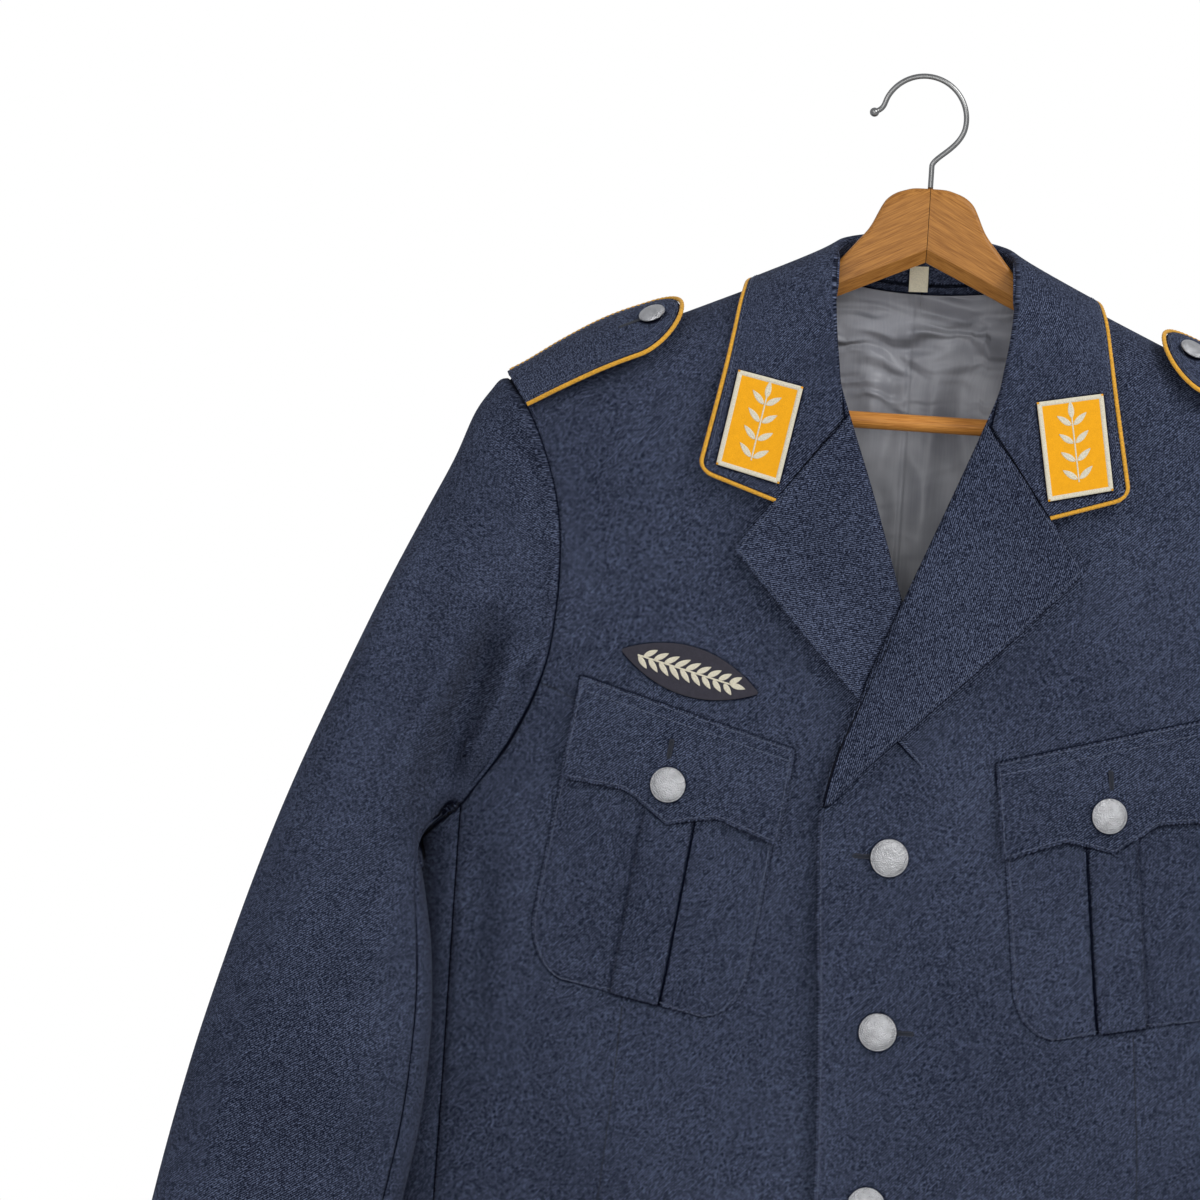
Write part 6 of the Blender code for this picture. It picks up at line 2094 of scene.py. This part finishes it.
class JACKET_OT_sewing(bpy.types.Operator):
    """Make the stitching, the darts and the buttonholes"""

    bl_idname = "jacket.sewing"
    bl_label = "Stitching and buttonholes"

    def execute(self, context):
        look = context.scene.jacket_cloth
        self.pitch = look.stitch_pitch
        self.edge = look.edge_distance
        self.collar_and_lapels()
        self.pockets()
        self.boards()
        self.buttonholes()
        self.seams()
        return {"FINISHED"}

    def hang(self, threads, name):
        finish_piece(threads.make(name, stitch_thread()))

    def stitch(self, threads, surface, borders, height, start=0.0, end=0.0, inset=None):
        """A row of stitches inside each of the named borders of a piece."""
        for border in borders.split():
            line = inset_line(*surface, border, inset or self.edge, height, start, end)
            threads.row(*line, self.pitch)

    def collar_and_lapels(self):
        threads = Threads()
        self.stitch(threads, collar_surface(), "last", TURNED_EDGE_CLOTH, 0.003, 0.003)
        for side_name, side in SIDES.items():
            lapel = mirrored_all(lapel_surface(side_name), side)
            self.stitch(threads, lapel, "last", TURNED_EDGE_CLOTH, 0.003, 0.0)
            self.stitch(threads, lapel, "top", TURNED_EDGE_CLOTH, 0.0, 0.003)
        points, normals, marks = front_surface("left")
        rows = slice(marks[FRONT_BREAK_ROW], None)
        self.stitch(threads, (points[rows], normals[rows]), "first", 0.0, 0.002)
        self.hang(threads, "edge_stitches")

    def pockets(self):
        for side_name, side in SIDES.items():
            threads = Threads()
            pocket = mirrored_all(pocket_surface(side_name)[:2], side)
            high = LAYER_GAP + POCKET_CLOTH - 0.0006
            self.stitch(threads, pocket, "first last", high, 0.004)
            self.stitch(threads, pocket, "bottom", high)
            flap = mirrored_all(flap_surface(side_name), side)
            self.stitch(threads, flap, "first last bottom", POCKET_CLOTH, 0.002, 0.002)
            for inset in FLAP_TOP_STITCH_INSETS:
                self.stitch(threads, flap, "top", POCKET_CLOTH, 0.002, 0.002, inset)
            self.hang(threads, f"pocket_stitches_{side_name}")

    def boards(self):
        for side_name, side in SIDES.items():
            threads = Threads()
            for inset in BOARD_STITCH_INSETS:
                line, ups = mirrored_all(board_rim(inset, BOARD_THICKNESS), side)
                threads.row(line, ups, self.pitch)
            self.hang(threads, f"board_stitches_{side_name}")

    def buttonholes(self):
        threads = Threads()
        slits = Gathered()
        places = []
        for index in range(FRONT_BUTTON_COUNT):
            turn = -1 if index == 0 else 1
            z = FRONT_BUTTON_TOP_Z - index * FRONT_BUTTON_PITCH
            centre, normal = on_front("left", np.array(turn * 0.0130), np.array(z))
            places.append((centre, normal, np.array((1.0, 0.0, 0.0)), 0.0125))
        for side_name, side in SIDES.items():
            across = FLAP_BUTTON_ACROSS[side_name] + 0.02
            centre, normal = on_flap(side_name, across, 0.155)
            lower, _ = on_flap(side_name, across, 0.185)
            run = mirrored(unit(lower - centre), side)
            places.append((mirrored(centre, side), mirrored(normal, side), run, 0.0145))
            along, across = np.array(BOARD_BUTTON_ALONG - 0.0125), np.array(BOARD_BUTTON_ACROSS)
            centre, normal = board_place(along, across, BOARD_THICKNESS)
            lower, _ = board_place(along + 0.004, across, BOARD_THICKNESS)
            run = mirrored(unit(lower - centre), side)
            places.append((mirrored(centre, side), mirrored(normal, side), run, 0.0135))
        for centre, normal, run, length in places:
            run = unit(run - normal * (run @ normal))
            across = np.cross(normal, run)
            threads.satin(centre, run, across, normal, length, 0.0012)
            # Painted shade: a dark sheet over the middle of each buttonhole stands in for the shade inside
            # the slit.
            along = (steps(9)[:, None, None] - 0.5) * length * run
            aside = lerp(-1.0, 1.0, steps(3))[None, :, None] * across * SLIT_HALF_WIDTH
            slits.grid(centre + along + aside + normal * 0.00030)
        finish_piece(threads.make("buttonhole_threads", buttonhole_thread()))
        finish_piece(slits.make("buttonhole_slit_shade", dark_thread()))

    def seams(self):
        """Darts below the pockets and the seam across the chest."""
        slits = Gathered()
        for side_name, side in SIDES.items():
            for line in SEAM_LINES[side_name]:
                path = np.array(line) / 1000
                reach = np.linspace(0, len(path) - 1, 60)
                x = np.interp(reach, np.arange(len(path)), path[:, 0])
                z = np.interp(reach, np.arange(len(path)), path[:, 1])
                aside = lerp(-1.0, 1.0, steps(3))[None, :]
                way = unit(np.stack((np.gradient(x), np.gradient(z)), axis=-1))
                place_x = x[:, None] - way[:, 1:] * aside * DART_HALF_WIDTH
                place_z = z[:, None] + way[:, :1] * aside * DART_HALF_WIDTH
                points, _ = on_front(side_name, place_x, place_z, 0.00008)
                slits.grid(mirrored(points, side), side > 0)
        finish_piece(slits.make("dart_seams", dark_thread()))


class JACKET_OT_lining(bpy.types.Operator):
    """Make the satin lining of the back and the neck label"""

    bl_idname = "jacket.lining"
    bl_label = "Lining and label"

    def execute(self, context):
        look = context.scene.jacket_cloth
        x, z, _ = panel_places("back", back_inner_x, 60, 0.0048, crowding=1.6)
        points = body_point("back", x, z)
        normals = body_normal("back", points)
        keep = slice(4, len(points) - 2)
        points, normals = (
            np.concatenate((mirrored(half[:, ::-1], -1), half), axis=1)
            for half in (points[keep], normals[keep])
        )
        place_x, place_z = points[..., 0], points[..., 2]
        uneven = np.abs(unevenness(place_x * 1.6, place_z * 1.6, 1.1))
        relief = fold_heights(place_x, place_z, LINING_FOLDS) + uneven * 2
        calm = 1 - smooth(-0.130, -0.117, place_z)
        relief = np.maximum(relief * calm + 0.0022 * calm, 0.0) + 0.0005
        seam = 0.0012 * np.exp(-(((place_x + 0.004) / 0.0009) ** 2))
        points = points - normals * (CLOTH + LINING_GAP + relief - np.minimum(seam, relief))[..., None]
        surface = shared("grey_satin_lining", satin_lining, look.dark_lining[:], look.light_lining[:])
        made = add_shell("satin_back", points, normals, -LINING_CLOTH, 0.0, surface, upright_uvs(points))
        finish_piece(made, ["lining_back"], cut_of(points))
        self.label(context.scene.jacket_trim)
        return {"FINISHED"}

    def label(self, look):
        """A woven label, bowed a little."""
        # Painted light: the label colour is painted paler to make up for the shade it hangs in.
        dark = shade(look.label, 0.86)
        surface = shared("woven_label", thread_finish, dark, look.label[:], scale=1400.0)
        down = steps(24)[:, None]
        across = lerp(-0.5, 0.5, steps(16))[None, :]
        x = LABEL_X + across * LABEL_WIDTH + 0 * down
        bend = 0.0003 * np.sin(math.pi * down) + 0.0002 * across
        y = lerp(LABEL_TOP[0], LABEL_BOTTOM[0], down) - bend
        z = lerp(LABEL_TOP[1], LABEL_BOTTOM[1], down) + 0.0004 * across
        points = join(x, y, z)
        normals = cell_normals(points, (0.0, -1.0, 0.0))
        half = LABEL_THICKNESS / 2
        made = add_shell("label_tape", points, normals, -half, half, surface, free_uvs(points))
        finish_piece(made, ["neck_label"], cut_of(points))


class JACKET_OT_hanger(bpy.types.Operator):
    """Make the wooden arms, the bar and the wire hook"""

    bl_idname = "jacket.hanger"
    bl_label = "Hanger"

    def execute(self, context):
        look = context.scene.jacket_trim
        for side_name, side in SIDES.items():
            slope = -side * HANGER_SLOPE
            surface = golden_wood(f"golden_wood_{side_name}", look.dark_wood[:], look.light_wood[:], slope)
            self.arm(side_name, side, surface)
        path = join(np.linspace(-BAR_HALF_LENGTH, BAR_HALF_LENGTH, 90), 0.0, BAR_Z)
        # Painted light: the bar's grain colours are painted paler than the arms', standing in for the light
        # along its round top.
        surface = golden_wood("golden_wood_bar", shade(look.dark_wood, 2.2), shade(look.light_wood, 1.6), 0.0)
        radii = BAR_RADIUS * (1 + 0.006 * np.sin(np.linspace(0, 9, 90)))
        bar = add_tube("wooden_bar", path, BAR_RADIUS, surface, 36, radii=radii)
        finish_piece(bar, ["hanger_bar"])
        self.hook(shared("bright_wire", bright_wire, look.wire[:]))
        return {"FINISHED"}

    def arm(self, side_name, side, surface):
        coarse, fine = np.linspace(HANGER_JOINT, HANGER_END_X, 90), np.linspace(HANGER_JOINT, 0.06, 60)
        stations = np.unique(np.concatenate((coarse, fine)))
        columns = ("top_z", "bottom_z", "half_thickness")
        top, bottom, thickness = (HANGER.at(stations, column)[:, None] for column in columns)
        angle = lerp(0.0, math.pi, steps(30))[None, :]
        middle = (top + bottom) / 2
        y = np.sign(np.cos(angle)) * np.abs(np.cos(angle)) ** HANGER_ROUNDNESS * thickness
        z = middle + np.sin(angle) ** HANGER_ROUNDNESS * (top - middle)
        crease = bottom + HANGER_BEVEL
        down_y = np.array((1.0, 1.0, 1.0, 1.0, 0.75, 0.50, 0.25, 0.10)) * thickness
        straight = np.array((0.25, 0.5, 0.75, 1.0))
        slope = np.array((0.67, 0.33, 0.0, 0.0))
        down_z = np.concatenate((lerp(middle, crease, straight), lerp(bottom, crease, slope)), axis=1)
        y = np.concatenate((y, -down_y, down_y[:, ::-1]), axis=1)
        z = np.concatenate((z, down_z, down_z[:, ::-1]), axis=1)
        points = mirrored(join(stations[:, None] + 0 * y, y, z), side)
        count = points.shape[1]
        faces = grid_faces(len(stations), count, closed=True)
        if side > 0:
            faces = faces[:, ::-1]
        faces = faces.tolist()
        last = (len(stations) - 1) * count
        first_cap, last_cap = list(range(count)), list(range(last, last + count))
        faces += [first_cap, last_cap[::-1]] if side > 0 else [first_cap[::-1], last_cap]
        arm = add_mesh(f"wooden_arm_{side_name}", points.reshape(-1, 3), faces, surface)
        arm.data.set_sharp_from_angle(angle=math.radians(20))
        finish_piece(arm, [f"hanger_arm_{side_name}"])

    def hook(self, surface):
        radius = HOOK_INNER_RADIUS + HOOK_WIRE_RADIUS
        centre = np.array((HOOK_CENTRE_X, 0.0, -math.sqrt(HOOK_INNER_RADIUS**2 - HOOK_CENTRE_X**2)))
        start = math.radians(HOOK_START_ANGLE)
        arc_start = centre + np.array((math.cos(start), 0.0, math.sin(start))) * radius
        run = np.array((math.sin(start), 0.0, -math.cos(start)))
        tip = np.array((HOOK_TIP_X, 0.0, HOOK_TIP_Z))
        away = unit(np.array((1.0, 0.0, 0.55)))
        ball = np.radians(np.linspace(-84, 54, 16))
        points = [tip + away * HOOK_BALL_RADIUS * math.sin(turn) for turn in ball]
        radii = [HOOK_BALL_RADIUS * math.cos(turn) for turn in ball]
        leave = points[-1]
        reach = np.linalg.norm(arc_start - leave)
        first, second = leave + away * reach * 0.45, arc_start - run * reach * 0.45
        for part in steps(16)[1:-1]:
            points.append(bent(leave, first, second, arc_start, part))
            radii.append(HOOK_WIRE_RADIUS)
        for angle in np.radians(np.linspace(HOOK_START_ANGLE, HOOK_END_ANGLE, 90)):
            points.append(centre + np.array((math.cos(angle), 0.0, math.sin(angle))) * radius)
            radii.append(HOOK_WIRE_RADIUS)
        end = points[-1]
        leave = unit(points[-1] - points[-2])
        stem = np.array((0.0, 0.0, HOOK_STEM_TOP_Z))
        reach = np.linalg.norm(stem - end)
        first = end + leave * reach * 0.44
        second = stem + unit(np.array((0.25, 0.0, 0.95))) * reach * 0.20
        for part in steps(25)[1:]:
            points.append(bent(end, first, second, stem, part))
            radii.append(HOOK_WIRE_RADIUS)
        wood_top = np.array((0.0, 0.0, float(HANGER.at(0.0, "top_z")) - 0.0006))
        for part in steps(8)[1:]:
            points.append(lerp(stem, wood_top, part))
            radii.append(HOOK_WIRE_RADIUS)
        hook = add_tube("wire_hook", points, HOOK_WIRE_RADIUS, surface, 20, radii=radii)
        finish_piece(hook, ["hanger_hook"])


def bent(start, first, second, end, part):
    """A place on the curve from start to end that is drawn towards two points."""
    rest = 1 - part
    return start * rest**3 + first * 3 * rest**2 * part + second * 3 * rest * part**2 + end * part**3


OPERATORS = (
    JACKET_OT_stage,
    JACKET_OT_hanger,
    JACKET_OT_lining,
    JACKET_OT_body_panels,
    JACKET_OT_sleeves,
    JACKET_OT_lapels,
    JACKET_OT_collar,
    JACKET_OT_pockets,
    JACKET_OT_shoulder_boards,
    JACKET_OT_badge_and_patches,
    JACKET_OT_buttons,
    JACKET_OT_sewing,
)


class JACKET_PT_panel(bpy.types.Panel):
    """The jacket's pieces and their settings"""

    bl_idname = "JACKET_PT_panel"
    bl_label = "Dress uniform jacket"
    bl_space_type = "VIEW_3D"
    bl_region_type = "UI"
    bl_category = "Jacket"

    def draw(self, context):
        for operator in OPERATORS:
            self.layout.operator(operator.bl_idname)
        for name in SETTINGS:
            box = self.layout.box()
            group = getattr(context.scene, name)
            for key in group.bl_rna.properties.keys():
                if key not in ("rna_type", "name"):
                    box.prop(group, key)


SETTINGS = {
    "jacket_stage": JacketStageSettings,
    "jacket_cloth": JacketClothSettings,
    "jacket_trim": JacketTrimSettings,
}


def register():
    for name, group in SETTINGS.items():
        bpy.utils.register_class(group)
        setattr(bpy.types.Scene, name, bpy.props.PointerProperty(type=group))
    for made in (*OPERATORS, JACKET_PT_panel):
        bpy.utils.register_class(made)


def unregister():
    for made in (JACKET_PT_panel, *reversed(OPERATORS)):
        bpy.utils.unregister_class(made)
    for name, group in SETTINGS.items():
        delattr(bpy.types.Scene, name)
        bpy.utils.unregister_class(group)


def main():
    register()
    for operator in OPERATORS:
        area, name = operator.bl_idname.split(".")
        getattr(getattr(bpy.ops, area), name)()


if __name__ == "__main__":
    main()
